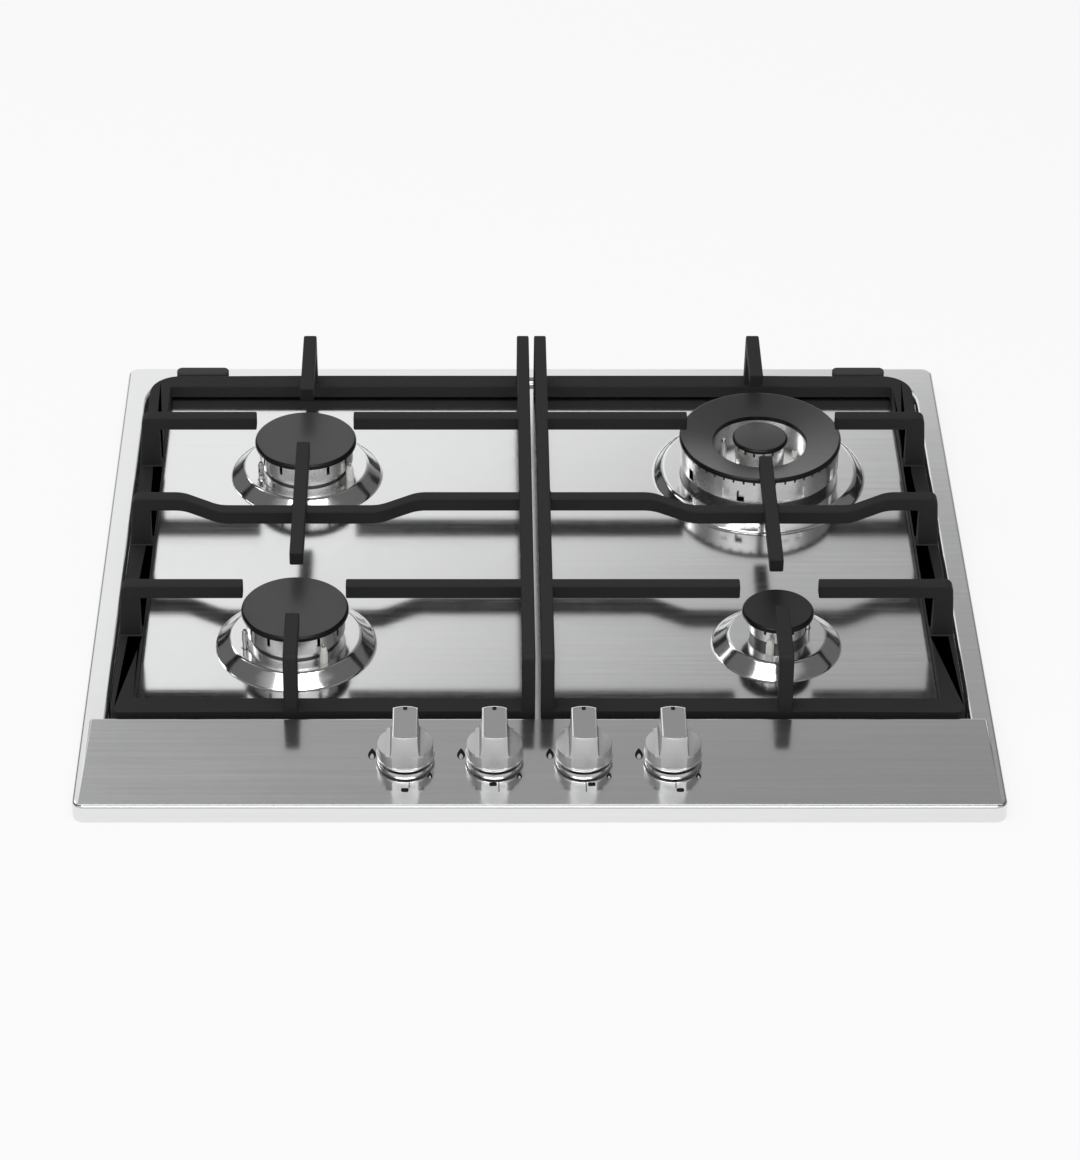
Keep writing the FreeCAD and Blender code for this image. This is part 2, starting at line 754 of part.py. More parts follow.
def pressed_form(label, inset, foot):
    """Makes the solid under one face of the pressed sheet: inset is 0 for its upper face."""
    body = new_body(label)
    half_width = size("plate_width") / 2 - inset
    half_depth = size("plate_depth") / 2 - inset
    rim = size("rim_height") - inset
    outline = new_sketch(body, "XY_Plane", foot)
    corners = [(-half_width, -half_depth), (half_width, -half_depth), (half_width, half_depth)]
    corners.append((-half_width, half_depth))
    add_rounded(outline, corners, [size("plate_corner") - inset] * 4)
    pad(body, outline, rim - foot)
    round_edges(body, size("rim_round") - inset, flat_at(rim.value))

    add_panel(body, rim, inset)

    floor = recess_floor() - inset
    lead = size("sheet_thick") + size("panel_rise")
    spread = size("recess_slope") * lead / size("recess_depth")
    levels = []
    for height, outwards in ((floor, -size("recess_slope")), (rim + lead, spread)):
        level = new_sketch(body, "XY_Plane", height)
        add_rounded(level, recess_corners(outwards, inset), recess_radii(outwards, inset))
        levels.append(level)
    hollow = body.newObject("PartDesign::SubtractiveLoft", f"{body.Name}_recess")
    hollow.Profile = levels[0]
    hollow.Sections = levels[1:]
    finish_feature(body, hollow)

    for burner in burners():
        cone = body.newObject("PartDesign::AdditiveCone", f"{body.Name}_{burner.name}")
        cone.AttachmentSupport = (origin_part(body, "XY_Plane"), [""])
        cone.MapMode = "FlatFace"
        bind(cone, "AttachmentOffset.Base.x", burner.x)
        bind(cone, "AttachmentOffset.Base.y", burner.y)
        bind(cone, "AttachmentOffset.Base.z", floor)
        bind(cone, "Radius1", burner.plateau + burner.slope - inset)
        bind(cone, "Radius2", burner.plateau - inset)
        bind(cone, "Height", burner.plateau_top - recess_floor())
        finish_feature(body, cone)
    crests = [burner.plateau_top - inset for burner in burners()]
    round_edges(body, size("plateau_round") - inset, lambda edge: any(
        flat_at(crest.value)(edge) and is_circle(edge) for crest in crests
    ))
    round_edges(body, size("floor_round") + inset, flat_at(floor.value))
    return body


def add_panel(body, rim, inset):
    """Adds the sloping control panel with its rounded rear edge and its bevelled sides."""
    half_width = size("plate_width") / 2 - size("panel_side") - inset
    back = panel_back() - inset
    rise = size("panel_rise")
    foot = rim - size("sheet_thick")
    profile = new_sketch(body, "YZ_Plane")
    add_polygon(profile, [
        (panel_front(), foot), (back, foot), (back, rim + rise),
        (panel_front(), rim + size("panel_lip")),
    ])
    pad(body, profile, half_width * 2, middle=True)
    crest = (rim + rise).value
    round_edges(body, size("panel_round") - inset, lambda edge: (
        flat_at(crest)(edge) and abs(edge.BoundBox.YMin - back.value) < TOUCH
        and edge.BoundBox.YLength < TOUCH
    ))
    sides = new_sketch(body, "XZ_Plane")
    bevel = size("panel_bevel")
    for side in (-1, 1):
        add_polygon(sides, [
            (half_width * side, rim), ((half_width - bevel * 2) * side, rim + rise * 2),
            ((half_width + bevel) * side, rim + rise * 2), ((half_width + bevel) * side, rim),
        ])
    pocket(body, sides, size("plate_depth"), middle=True)


def burners():
    """Returns the four burners."""
    return [Burner(*row) for row in BURNERS]


def top_holes():
    """Makes everything that is punched out of the steel top."""
    start = box_bottom()
    reach = support_top() - start
    tools = []
    for burner in burners():
        throat = burner.throat + size("hole_clear")
        tools.append(cylinder(f"throat_{burner.name}", burner.x, burner.y, start, throat, reach))
        x, y = burner.electrode_place()
        radius = size("electrode_radius") + size("hole_clear")
        if burner.kind != "triple":
            tools.append(cylinder(f"spark_hole_{burner.name}", x, y, start, radius, reach))
            x, y = burner.probe_place()
            radius = size("probe_radius") + size("hole_clear")
            tools.append(cylinder(f"probe_hole_{burner.name}", x, y, start, radius, reach))
        for angle in SCREW_ANGLES:
            x, y = burner.screw_place(angle)
            radius = size("cup_screw") + size("screw_clear")
            tools.append(cylinder(f"screw_hole_{burner.name}", x, y, start, radius, reach))
        tools.append(cylinder(
            f"spindle_hole_{burner.name}", knob_x(burner.name), knob_row(), start,
            size("spindle_hole"), reach,
        ))
    for side, name in ((-1, "left"), (1, "right")):
        tools.append(block(
            f"hinge_slot_{name}", size("cover_x") * side, cover_row(), start,
            size("slot_width"), size("slot_depth"), reach,
        ))
    holes = doc.addObject("Part::MultiFuse", "top_holes")
    holes.Shapes = tools
    return holes


def build_top():
    """Builds the pressed steel top."""
    outside = pressed_form("top_outside", as_dim(0), size("skirt_clear"))
    inside = pressed_form("top_inside", size("sheet_thick"), -size("sheet_thick"))
    blank = doc.addObject("Part::Cut", "top_blank")
    blank.Base = outside
    blank.Tool = inside
    top = doc.addObject("Part::Cut", "hob_top")
    top.Base = blank
    top.Tool = top_holes()
    keep("hob_top", top)


def cover_row():
    """Returns the hinge slot covers' place along Y."""
    return size("plate_depth") / 2 - size("cover_edge") - size("cover_depth") / 2


def build_covers():
    """Builds the two plastic covers over the hinge slots of the rim."""
    for side, name in ((-1, "left"), (1, "right")):
        label = f"hinge_cover_{name}"
        body = new_body(label, size("cover_x") * side, cover_row())
        plan = new_sketch(body, "XY_Plane", size("rim_height"))
        half = size("cover_width") / 2
        deep = size("cover_depth") / 2
        add_rounded(
            plan, [(-half, -deep), (half, -deep), (half, deep), (-half, deep)],
            [deep - size("sheet_thick")] * 4,
        )
        pad(body, plan, size("cover_height"))
        height = (size("rim_height") + size("cover_height")).value
        round_edges(body, size("cover_height") / 2, flat_at(height))
        peg = new_sketch(body, "XY_Plane", size("rim_height") - size("cover_peg"))
        wide = size("slot_width") / 2 - size("seat_clear")
        thin = size("slot_depth") / 2 - size("seat_clear")
        add_polygon(peg, [(-wide, -thin), (wide, -thin), (wide, thin), (-wide, thin)])
        pad(body, peg, size("cover_peg"))
        keep(label, body)


# ---------------------------------------------------------------- burner box and seal


def rectangle(half_width, half_depth):
    """Returns the corners of a rectangle about the middle."""
    return [
        (-half_width, -half_depth), (half_width, -half_depth),
        (half_width, half_depth), (-half_width, half_depth),
    ]


def build_box():
    """Builds the steel burner box with its flange, raised corners and air slots."""
    body = new_body("burner_box")
    wall = size("sheet_thick")
    half_width = box_half_width()
    half_depth = box_half_depth()
    shell = new_sketch(body, "XY_Plane", box_bottom())
    add_polygon(shell, rectangle(half_width, half_depth))
    pad(body, shell, box_top() - box_bottom())
    flange = new_sketch(body, "XY_Plane", box_top() - wall)
    reach = size("box_flange")
    add_polygon(flange, rectangle(half_width + reach, half_depth + reach))
    pad(body, flange, wall)
    inside = new_sketch(body, "XY_Plane", box_top())
    add_polygon(inside, rectangle(half_width - wall, half_depth - wall))
    pocket(body, inside, box_top() - box_bottom() - wall)

    step_top = box_bottom() + size("box_step")
    for side in (-1, 1):
        outer = half_width * side
        inner = (half_width - size("step_width")) * side
        rear = half_depth
        front = half_depth - size("step_depth")
        raised = new_sketch(body, "XY_Plane", box_bottom())
        add_polygon(raised, [(inner, front), (outer, front), (outer, rear), (inner, rear)])
        pad(body, raised, step_top - box_bottom())
        under = new_sketch(body, "XY_Plane", box_bottom())
        trim = wall * side
        add_polygon(under, [
            (inner + trim, front + wall), (outer + trim, front + wall),
            (outer + trim, rear + wall), (inner + trim, rear + wall),
        ])
        pocket(body, under, step_top - box_bottom() - wall, reverse=True)

    for x, y, radius in (
        (size("inlet_x"), size("inlet_y"), size("inlet_radius") + size("thread_clear")),
        (-size("gland_x"), size("inlet_y"), size("gland_radius") + size("hole_clear")),
    ):
        opening = new_sketch(body, "XY_Plane", step_top)
        add_circle(opening, x, y, radius)
        pocket(body, opening, size("box_step"))

    vent = new_sketch(body, "XY_Plane", box_bottom() + wall)
    length = size("vent_length") / 2
    width = size("vent_width") / 2
    first = -(size("vent_pitch") * (size("vent_count") - 1) / 2)
    add_polygon(vent, [
        (-length, first - width), (length, first - width),
        (length, first + width), (-length, first + width),
    ])
    slot = pocket(body, vent, wall)
    row = body.newObject("PartDesign::LinearPattern", "burner_box_vents")
    row.Originals = [slot]
    row.Direction = (origin_part(body, "Y_Axis"), [""])
    bind(row, "Length", size("vent_pitch") * (size("vent_count") - 1))
    bind(row, "Occurrences", size("vent_count"))
    finish_feature(body, row)
    keep("burner_box", body)


def build_seal():
    """Builds the foam seal between the box's flange and the worktop."""
    body = new_body("worktop_seal")
    outer_x = box_half_width() + size("box_flange")
    outer_y = box_half_depth() + size("box_flange")
    ring = new_sketch(body, "XY_Plane")
    add_polygon(ring, rectangle(outer_x, outer_y))
    add_polygon(ring, rectangle(outer_x - size("seal_width"), outer_y - size("seal_width")))
    pad(body, ring, box_top() - size("sheet_thick"))
    keep("worktop_seal", body)


def build_clamps():
    """Builds the worktop clamps on the box's sides and the screws that hold them."""
    clamps = []
    screws = []
    wall = box_half_width()
    thick = size("clamp_thick")
    foot = -size("clamp_z")
    for side, side_name in ((-1, "left"), (1, "right")):
        for row, row_name in ((-1, "front"), (1, "rear")):
            name = f"{row_name}_{side_name}"
            body = new_body(f"clamp_{name}", None, size("clamp_y") * row)
            profile = new_sketch(body, "XZ_Plane")
            inner = wall * side
            plate = (wall + thick) * side
            outer = (wall + size("clamp_reach")) * side
            add_polygon(profile, [
                (inner, foot), (outer, foot), (outer, foot + thick), (plate, foot + thick),
                (plate, foot + size("clamp_height")), (inner, foot + size("clamp_height")),
            ])
            pad(body, profile, size("clamp_width"), middle=True)
            hole = new_sketch(body, "YZ_Plane", inner - thick * side)
            height = foot + size("clamp_height") / 2 + thick
            add_circle(hole, 0, height, size("screw_radius") + size("seat_clear"))
            pocket(body, hole, thick * 3, reverse=side > 0)
            clamps.append(body)
            screws.append(clamp_screw(name, side, row, plate, height))
    group("worktop_clamps", clamps)
    return screws


def clamp_screw(name, side, row, seat, height):
    """Makes a screw that holds a clamp on the box's side, with its head on the clamp."""
    body = new_body(f"clamp_screw_{name}", None, size("clamp_y") * row)
    head = new_sketch(body, "YZ_Plane", seat)
    add_circle(head, 0, height, size("screw_head"))
    head_pad = pad(body, head, size("screw_head_height"))
    head_pad.Reversed = side < 0
    shank = new_sketch(body, "YZ_Plane", seat)
    add_circle(shank, 0, height, size("screw_radius"))
    shank_pad = pad(body, shank, size("clamp_thick") - size("hole_clear") / 2)
    shank_pad.Reversed = side > 0
    return body


# ---------------------------------------------------------------- burners


def build_cup(burner):
    """Builds the cast burner cup that hangs through the top."""
    label = f"burner_cup_{burner.name}"
    body = new_body(label, burner.x, burner.y)
    wall = size("cup_wall")
    bottom = -size("burner_drop")
    boss_bottom = bottom - size("boss_drop")
    boss = size("boss_radius")
    bore = size("injector_thread") + size("running_clear")
    turn(body, [
        (0, boss_bottom), (boss, boss_bottom), (boss, bottom), (burner.throat, bottom),
        (burner.throat, burner.plateau_top), (burner.cup, burner.plateau_top),
        (burner.cup, burner.crown_bottom), (burner.throat - wall, burner.crown_bottom),
        (burner.throat - wall, bottom + wall), (bore, bottom + wall),
        (bore, boss_bottom + wall), (0, boss_bottom + wall),
    ])
    window = new_sketch(body, "XZ_Plane")
    half = size("window_width") / 2
    low = bottom + wall + wall
    high = low + size("window_height")
    add_polygon(window, [(-half, low), (half, low), (half, high), (-half, high)])
    ring_of(body, pocket(body, window, burner.throat + wall, reverse=True), size("window_count"))
    inlet = new_sketch(body, "XZ_Plane")
    add_circle(inlet, 0, -size("pipe_z"), size("pipe_radius") + size("running_clear"))
    pocket(body, inlet, boss + wall, reverse=True)
    if burner.kind == "triple":
        pocket_passages(body, burner, bottom + wall, wall)
    holes = new_sketch(body, "XY_Plane", burner.plateau_top)
    for angle in SCREW_ANGLES:
        x, y = burner.screw_place(angle)
        add_circle(holes, x - burner.x, y - burner.y, size("cup_screw") + size("screw_clear"))
    pocket(body, holes, size("cup_screw_depth") + size("screw_clear"), reverse=True)
    keep(label, body)


def pocket_passages(body, burner, height, depth):
    """Cuts the passages of the electrode and the thermocouple down from a height."""
    holes = new_sketch(body, "XY_Plane", height)
    for place, radius in (
        (burner.electrode_place(), size("electrode_radius")),
        (burner.probe_place(), size("probe_radius")),
    ):
        add_circle(holes, place[0] - burner.x, place[1] - burner.y, radius + size("hole_clear"))
    pocket(body, holes, depth)


def build_brackets():
    """Builds the sheet rings under the top that hold cups, electrodes and thermocouples."""
    members = []
    for burner in burners():
        body = new_body(f"bracket_{burner.name}", burner.x, burner.y)
        top = burner.bracket_bottom + size("bracket_thick")
        ring = new_sketch(body, "XY_Plane", top)
        outer = burner.plateau - size("sheet_thick") - size("bracket_clear")
        add_circle(ring, 0, 0, outer)
        add_circle(ring, 0, 0, burner.throat + size("hole_clear"))
        for angle in SCREW_ANGLES:
            x, y = burner.screw_place(angle)
            add_circle(ring, x - burner.x, y - burner.y, size("cup_screw") + size("screw_clear"))
        sheet_ring = pad(body, ring, size("bracket_thick"))
        sheet_ring.Reversed = True
        if burner.kind != "triple":
            pocket_passages(body, burner, top, size("bracket_thick"))
        members.append(body)
    group("burner_brackets", members)


def build_cup_screws():
    """Builds the screws that hold each cup to the top from below."""
    members = []
    shank = size("cup_screw")
    head = size("cup_screw_head")
    for burner in burners():
        seat = burner.bracket_bottom
        foot = seat - size("screw_head_height")
        tip = burner.plateau_top + size("cup_screw_depth")
        for angle in SCREW_ANGLES:
            x, y = burner.screw_place(angle)
            body = new_body(f"cup_screw_{burner.name}_{angle}", x, y)
            turn(body, [(0, foot), (head, foot), (head, seat), (shank, seat), (shank, tip), (0, tip)])
            members.append(body)
    group("cup_screws", members)


def build_injectors():
    """Builds the four brass injectors in the cup floors."""
    members = []
    floor = size("cup_wall") - size("burner_drop")
    thread = size("injector_thread")
    head = size("injector_head")
    jet = size("jet_radius")
    for burner in burners():
        body = new_body(f"injector_{burner.name}", burner.x, burner.y)
        turn(body, [
            (jet, floor - size("injector_length")), (thread, floor - size("injector_length")),
            (thread, floor), (head, floor), (head, floor + size("injector_rise")),
            (jet, floor + size("injector_rise")),
        ])
        members.append(body)
    group("injectors", members)


def build_crown(burner):
    """Builds the crown of a burner with a single ring of flames."""
    label = f"burner_crown_{burner.name}"
    body = new_body(label, burner.x, burner.y)
    low = burner.crown_bottom
    high = burner.crown_top
    floor = low + size("crown_floor")
    inner = burner.crown - size("crown_wall")
    spigot_inner = burner.spigot - size("spigot_wall")
    spigot_foot = low - size("spigot_length")
    tube_outer = burner.bore + size("tube_wall")
    tube_top = high - burner.of("slot_height")
    turn(body, [
        (spigot_inner, spigot_foot), (burner.spigot, spigot_foot), (burner.spigot, low),
        (burner.crown, low), (burner.crown, high), (inner, high), (inner, floor),
        (tube_outer, floor), (tube_outer, tube_top), (burner.bore, tube_top),
        (burner.bore, low), (spigot_inner, low),
    ])
    cut_slots(body, burner.crown, high, burner.of("slot_width"), burner.of("slot_height"),
              burner.of("slots"))
    keep(label, body)


def cut_slots(body, radius, top, width, height, count):
    """Cuts a ring of flame slots down from the top of a crown's wall."""
    slot = new_sketch(body, "XZ_Plane")
    half = width / 2
    foot = top - height
    add_polygon(slot, [(-half, foot), (half, foot), (half, top), (-half, top)])
    ring_of(body, pocket(body, slot, radius + size("crown_wall"), reverse=True), count)


def ring_cap_slope():
    """Returns the fall of the ring cap's face per millimetre inwards."""
    face = size("triple_cap") - size("cap_chamfer") - size("triple_hole")
    return size("triple_dish") / face


def ring_cap_inner_height(burner):
    """Returns the underside of the ring cap at its hole."""
    return burner.crown_top - size("triple_dish")


def build_triple_crown(burner):
    """Builds the rear right crown with an outer and an inner ring of flames."""
    label = f"burner_crown_{burner.name}"
    body = new_body(label, burner.x, burner.y)
    low = burner.crown_bottom
    high = burner.crown_top
    floor = low + size("crown_floor")
    inner = burner.crown - size("crown_wall")
    spigot_inner = burner.spigot - size("spigot_wall")
    spigot_foot = low - size("spigot_length")
    wall_inner = size("triple_inner_wall")
    wall_outer = wall_inner + size("triple_inner_thick")
    wall_top = ring_cap_inner_height(burner)
    hub = size("triple_hub")
    hub_inner = hub - size("crown_wall")
    hub_top = low + size("triple_hub_height")
    tube_outer = burner.bore + size("tube_wall")
    tube_top = hub_top - size("triple_hub_slot_height")
    turn(body, [
        (spigot_inner, spigot_foot), (burner.spigot, spigot_foot), (burner.spigot, low),
        (burner.crown, low), (burner.crown, high), (inner, high), (inner, floor),
        (wall_outer, floor), (wall_outer, wall_top), (wall_inner, wall_top), (wall_inner, floor),
        (hub, floor), (hub, hub_top), (hub_inner, hub_top), (hub_inner, floor),
        (tube_outer, floor), (tube_outer, tube_top), (burner.bore, tube_top),
        (burner.bore, low), (spigot_inner, low),
    ])
    cut_slots(body, burner.crown, high, burner.of("slot_width"), burner.of("slot_height"),
              burner.of("slots"))
    slot = new_sketch(body, "XZ_Plane")
    half = burner.of("slot_width") / 2
    add_polygon(slot, [(-half, tube_top), (half, tube_top), (half, hub_top), (-half, hub_top)])
    ring_of(body, pocket(body, slot, hub + size("tube_wall"), reverse=True),
            size("triple_hub_slots"))
    port = new_sketch(body, "XZ_Plane", inner - size("tube_wall"))
    half = size("port_width") / 2
    foot = low + size("port_rise")
    top = foot + size("port_height")
    add_polygon(port, [(-half, foot), (half, foot), (half, top), (-half, top)])
    reach = size("crown_wall") + size("tube_wall") * 2
    ring_of(body, pocket(body, port, reach, reverse=True), size("port_count"))
    pocket_passages(body, burner, floor, size("crown_floor"))
    keep(label, body)


def build_cap(burner):
    """Builds the enamelled cap of a burner with a single ring of flames."""
    label = f"burner_cap_{burner.name}"
    body = new_body(label, burner.x, burner.y)
    turn(body, cap_section(
        burner.cap, burner.crown_top, burner.cap_top,
        burner.crown - size("crown_wall") - size("seat_clear"),
    ))
    keep(label, body)


def cap_section(radius, low, high, lip, crest=0):
    """Returns the section of a cap with a locating lip and a crest in its middle."""
    edge = size("cap_chamfer")
    lip_inner = lip - size("lip_width")
    foot = low - size("lip_depth")
    return [
        (0, low), (lip_inner, low), (lip_inner, foot), (lip, foot), (lip, low),
        (radius, low), (radius, high - edge), (radius - edge, high), (0, high + crest),
    ]


def build_ring_cap(burner):
    """Builds the rear right burner's ring cap, which slopes down to its hole."""
    body = new_body("burner_cap_rear_right", burner.x, burner.y)
    edge = size("cap_chamfer")
    low = burner.crown_top
    high = burner.cap_top
    hole = size("triple_hole")
    lip = burner.crown - size("crown_wall") - size("seat_clear")
    lip_inner = lip - size("lip_width")
    lip_foot = low - size("lip_depth")
    face_low = high - size("triple_dish")
    under_low = face_low - burner.of("cap_thick") + size("running_clear") * 2
    under_lip = under_low + ring_cap_slope() * (lip_inner - hole)
    turn(body, [
        (hole, under_low), (lip_inner, under_lip), (lip_inner, lip_foot), (lip, lip_foot),
        (lip, low), (burner.cap, low), (burner.cap, high - edge), (burner.cap - edge, high),
        (hole, face_low),
    ])
    keep("burner_cap_rear_right", body)
    inner = new_body("inner_cap_rear_right", burner.x, burner.y)
    hub_top = burner.crown_bottom + size("triple_hub_height")
    turn(inner, cap_section(
        size("triple_hub_cap"), hub_top, hub_top + size("triple_hub_cap_thick"),
        size("triple_hub") - size("crown_wall") - size("seat_clear"), size("triple_hub_crest"),
    ))
    keep("inner_cap_rear_right", inner)


def make_electrode(burner):
    """Makes the ignition electrode of a burner: a ceramic and the steel pin in it."""
    x, y = burner.electrode_place()
    top = burner.crown_bottom + size("crown_floor") + size("electrode_point") / 2
    foot = burner.mounting - size("electrode_drop")
    radius = size("electrode_radius")
    pin_radius = size("electrode_pin")
    ceramic = new_body(f"ceramic_{burner.name}", x, y)
    shoulder = top - size("electrode_point")
    turn(ceramic, [
        (pin_radius, foot), (radius, foot), (radius, shoulder),
        (pin_radius * 2, top), (pin_radius, top),
    ])
    steel = new_body(f"pin_{burner.name}", x, y)
    turn(steel, [
        (0, foot - size("electrode_point")), (pin_radius, foot - size("electrode_point")),
        (pin_radius, top + size("electrode_point") / 2), (0, top + size("electrode_point")),
    ])
    return ceramic, steel


def make_probe(burner):
    """Makes the thermocouple that feels a burner's flame."""
    x, y = burner.probe_place()
    body = new_body(f"thermocouple_{burner.name}", x, y)
    radius = size("probe_radius")
    nut = size("probe_nut")
    nut_top = burner.mounting
    foot = nut_top - size("probe_nut_height")
    top = burner.crown_top - size("electrode_point")
    turn(body, [
        (0, foot), (nut, foot), (nut, nut_top), (radius, nut_top),
        (radius, top - radius), (radius / 2, top), (0, top),
    ])
    return body


def build_sensors():
    """Builds the ignition electrodes and the thermocouples of all burners."""
    electrodes = [make_electrode(burner) for burner in burners()]
    group("electrode_ceramics", [ceramic for ceramic, _ in electrodes])
    group("electrode_pins", [steel for _, steel in electrodes])
    group("thermocouples", [make_probe(burner) for burner in burners()])


# ---------------------------------------------------------------- pan supports


def build_support(name, side, front, rear):
    """Builds one half of the cast iron pan support over its front and its rear burner."""
    label = f"pan_support_{name}"
    body = new_body(label)
    outer = size("support_half")
    gap = size("support_gap")
    y_front = -size("support_front")
    y_back = size("support_back")
    bar = size("frame_bar")
    frame = new_sketch(body, "XY_Plane", frame_bottom())
    none = None
    rear_round = size("frame_corner")
    front_round = size("frame_front_corner")
    small = size("frame_inner_corner")
    corners = [
        (gap, y_front), (outer, y_front), (outer, y_back), (gap, y_back),
        (gap, y_back - bar), (outer - bar, y_back - bar), (outer - bar, y_front + bar),
        (gap, y_front + bar),
    ]
    radii = [none, front_round, rear_round, none, none, small, small, none]
    if side < 0:
        corners = [(-x, y) for x, y in corners]
    add_rounded(frame, corners, radii)
    pad(body, frame, size("frame_height"))
    pegs = new_sketch(body, "XY_Plane", frame_bottom())
    for x, y in foot_places(side):
        add_circle(pegs, x, y, size("foot_peg") + size("running_clear"))
    pocket(body, pegs, size("peg_length") + size("running_clear"), reverse=True)

    top = support_top()
    under = top - size("finger_height")
    shoulder = outer - size("arm_lean")
    rail_outer = gap + size("rail_width")
    add_staple(body, (gap + size("rail_width") / 2) * side, size("rail_width"))
    for burner in (front, rear):
        reach = burner.of("tip")
        middle = size("burner_x")
        post = size("post_width")
        add_arm(body, burner.y, [
            (outer * side, frame_top()), (shoulder * side, top), ((middle + reach) * side, top),
            ((middle + reach) * side, under), ((outer - post) * side, under),
            ((outer - post) * side, frame_top()),
        ])
        inner_tip = (middle - reach) * side
        start = (rail_outer - size("finger_round")) * side
        add_arm(body, burner.y, [
            (start, under), (start, top), (inner_tip, top), (inner_tip, under),
        ])
    add_finger(body, front, rear)
    add_wave(body, side)
    round_bends(body)
    keep(label, body)
    return body


def round_bends(body):
    """Rounds a pan support where its posts bend into arms, fingers and rails, and the wavy bar."""
    foot = frame_top().value + TOUCH
    side = (size("support_half") - size("arm_lean")).value - TOUCH
    ends = [end.value for end in rail_ends()]
    middle = size("burner_x").value
    turns = [size("wave_belly").value, (size("wave_belly") + size("wave_ramp")).value]

    def at_bend(edge):
        """Tells whether an edge lies across the top of a post."""
        box = edge.BoundBox
        if box.ZLength > TOUCH or box.ZMin < foot:
            return False
        across = box.XLength < TOUCH and abs(box.XMin) > side
        along = box.YLength < TOUCH and abs(box.ZMin - support_top().value) < TOUCH
        return across or (along and any(abs(box.YMin - end) < TOUCH for end in ends))

    def at_wave(edge):
        """Tells whether an edge is an upright corner of the wavy bar."""
        box = edge.BoundBox
        if max(box.XLength, box.YLength) > TOUCH:
            return False
        return any(abs(abs(abs(box.XMin) - middle) - turn) < TOUCH for turn in turns)

    round_edges(body, size("wave_round"), at_wave)
    round_edges(body, size("bend_round"), at_bend)


def add_arm(body, y, corners):
    """Adds an arm along X, given by its outline seen from the front."""
    arm = new_sketch(body, "XZ_Plane", -y)
    add_polygon(arm, corners)
    pad(body, arm, size("finger_width"), middle=True)


def rail_ends():
    """Returns the rails' end faces at the top: front and back."""
    front = -size("support_front") + size("rail_lean_front")
    back = size("support_back") - size("rail_lean_back")
    return front, back


def add_staple(body, x, width):
    """Adds the rail that joins the front bar and the back bar over the middle."""
    front, back = rail_ends()
    top = support_top()
    under = top - size("finger_height")
    post = size("post_depth")
    foot = frame_top()
    rail = new_sketch(body, "YZ_Plane", x)
    add_polygon(rail, [
        (-size("support_front"), foot), (front, top), (back, top), (size("support_back"), foot),
        (size("support_back") - post, foot), (back - post, under), (front + post, under),
        (post - size("support_front"), foot),
    ])
    pad(body, rail, width, middle=True)


def add_finger(body, front, rear):
    """Adds the fingers along Y: from the back bar, between the burners and from the front bar."""
    first, last = rail_ends()
    top = support_top()
    under = top - size("finger_height")
    post = size("post_depth")
    foot = frame_top()
    outlines = (
        [
            (size("support_back"), foot), (last, top), (rear.y + rear.of("tip"), top),
            (rear.y + rear.of("tip"), under), (last - post, under),
            (size("support_back") - post, foot),
        ],
        [
            (rear.y - rear.of("tip"), top), (front.y + front.of("tip"), top),
            (front.y + front.of("tip"), under), (rear.y - rear.of("tip"), under),
        ],
        [
            (-size("support_front"), foot), (first, top), (front.y - front.of("tip"), top),
            (front.y - front.of("tip"), under), (first + post, under),
            (post - size("support_front"), foot),
        ],
    )
    for outline in outlines:
        finger = new_sketch(body, "YZ_Plane", front.x)
        add_polygon(finger, outline)
        pad(body, finger, size("finger_width"), middle=True)


def add_wave(body, side):
    """Adds the wavy bar between the burners and its post on the side bar."""
    top = support_top() - size("wave_drop")
    under = top - size("finger_height")
    outer = size("support_half")
    half = size("finger_width") / 2
    ends = size("wave_back_y")
    belly = size("wave_front_y")
    inner = size("support_gap") + size("rail_width") - size("finger_round")
    middle = size("burner_x")
    flat = size("wave_belly")
    ramp = flat + size("wave_ramp")
    post = size("post_width")
    line = [
        (inner, ends), (middle - ramp, ends), (middle - flat, belly),
        (middle + flat, belly), (middle + ramp, ends), (outer - post, ends),
    ]
    corners = [(x * side, y + half) for x, y in line]
    corners += [(x * side, y - half) for x, y in reversed(line)]
    wave = new_sketch(body, "XY_Plane", under)
    add_polygon(wave, corners)
    pad(body, wave, size("finger_height"))
    shoulder = outer - size("arm_lean")
    add_arm(body, ends, [
        (outer * side, frame_top()), (shoulder * side, top),
        ((outer - post) * side, top), ((outer - post) * side, frame_top()),
    ])


def foot_places(side):
    """Returns the places of a pan support's rubber feet."""
    bar = size("frame_bar") / 2
    across = (size("support_half") - bar) * side
    inner = (size("support_gap") + size("frame_corner")) * side
    y_front = bar - size("support_front")
    y_back = size("support_back") - bar
    deep = size("frame_corner")
    return (
        (across, y_front + deep), (across, y_back - deep), (inner, y_front), (inner, y_back),
    )


def build_feet(name, side):
    """Builds the rubber feet of a pan support, each held by a peg."""
    members = []
    for number, (x, y) in enumerate(foot_places(side), 1):
        body = new_body(f"foot_{name}_{number}", x, y)
        radius = size("foot_radius")
        peg = size("foot_peg")
        peg_top = frame_bottom() + size("peg_length")
        turn(body, [
            (0, recess_floor()), (radius, recess_floor()), (radius, frame_bottom()),
            (peg, frame_bottom()), (peg, peg_top), (0, peg_top),
        ])
        members.append(body)
    group(f"pan_support_feet_{name}", members)


# ---------------------------------------------------------------- knobs and taps


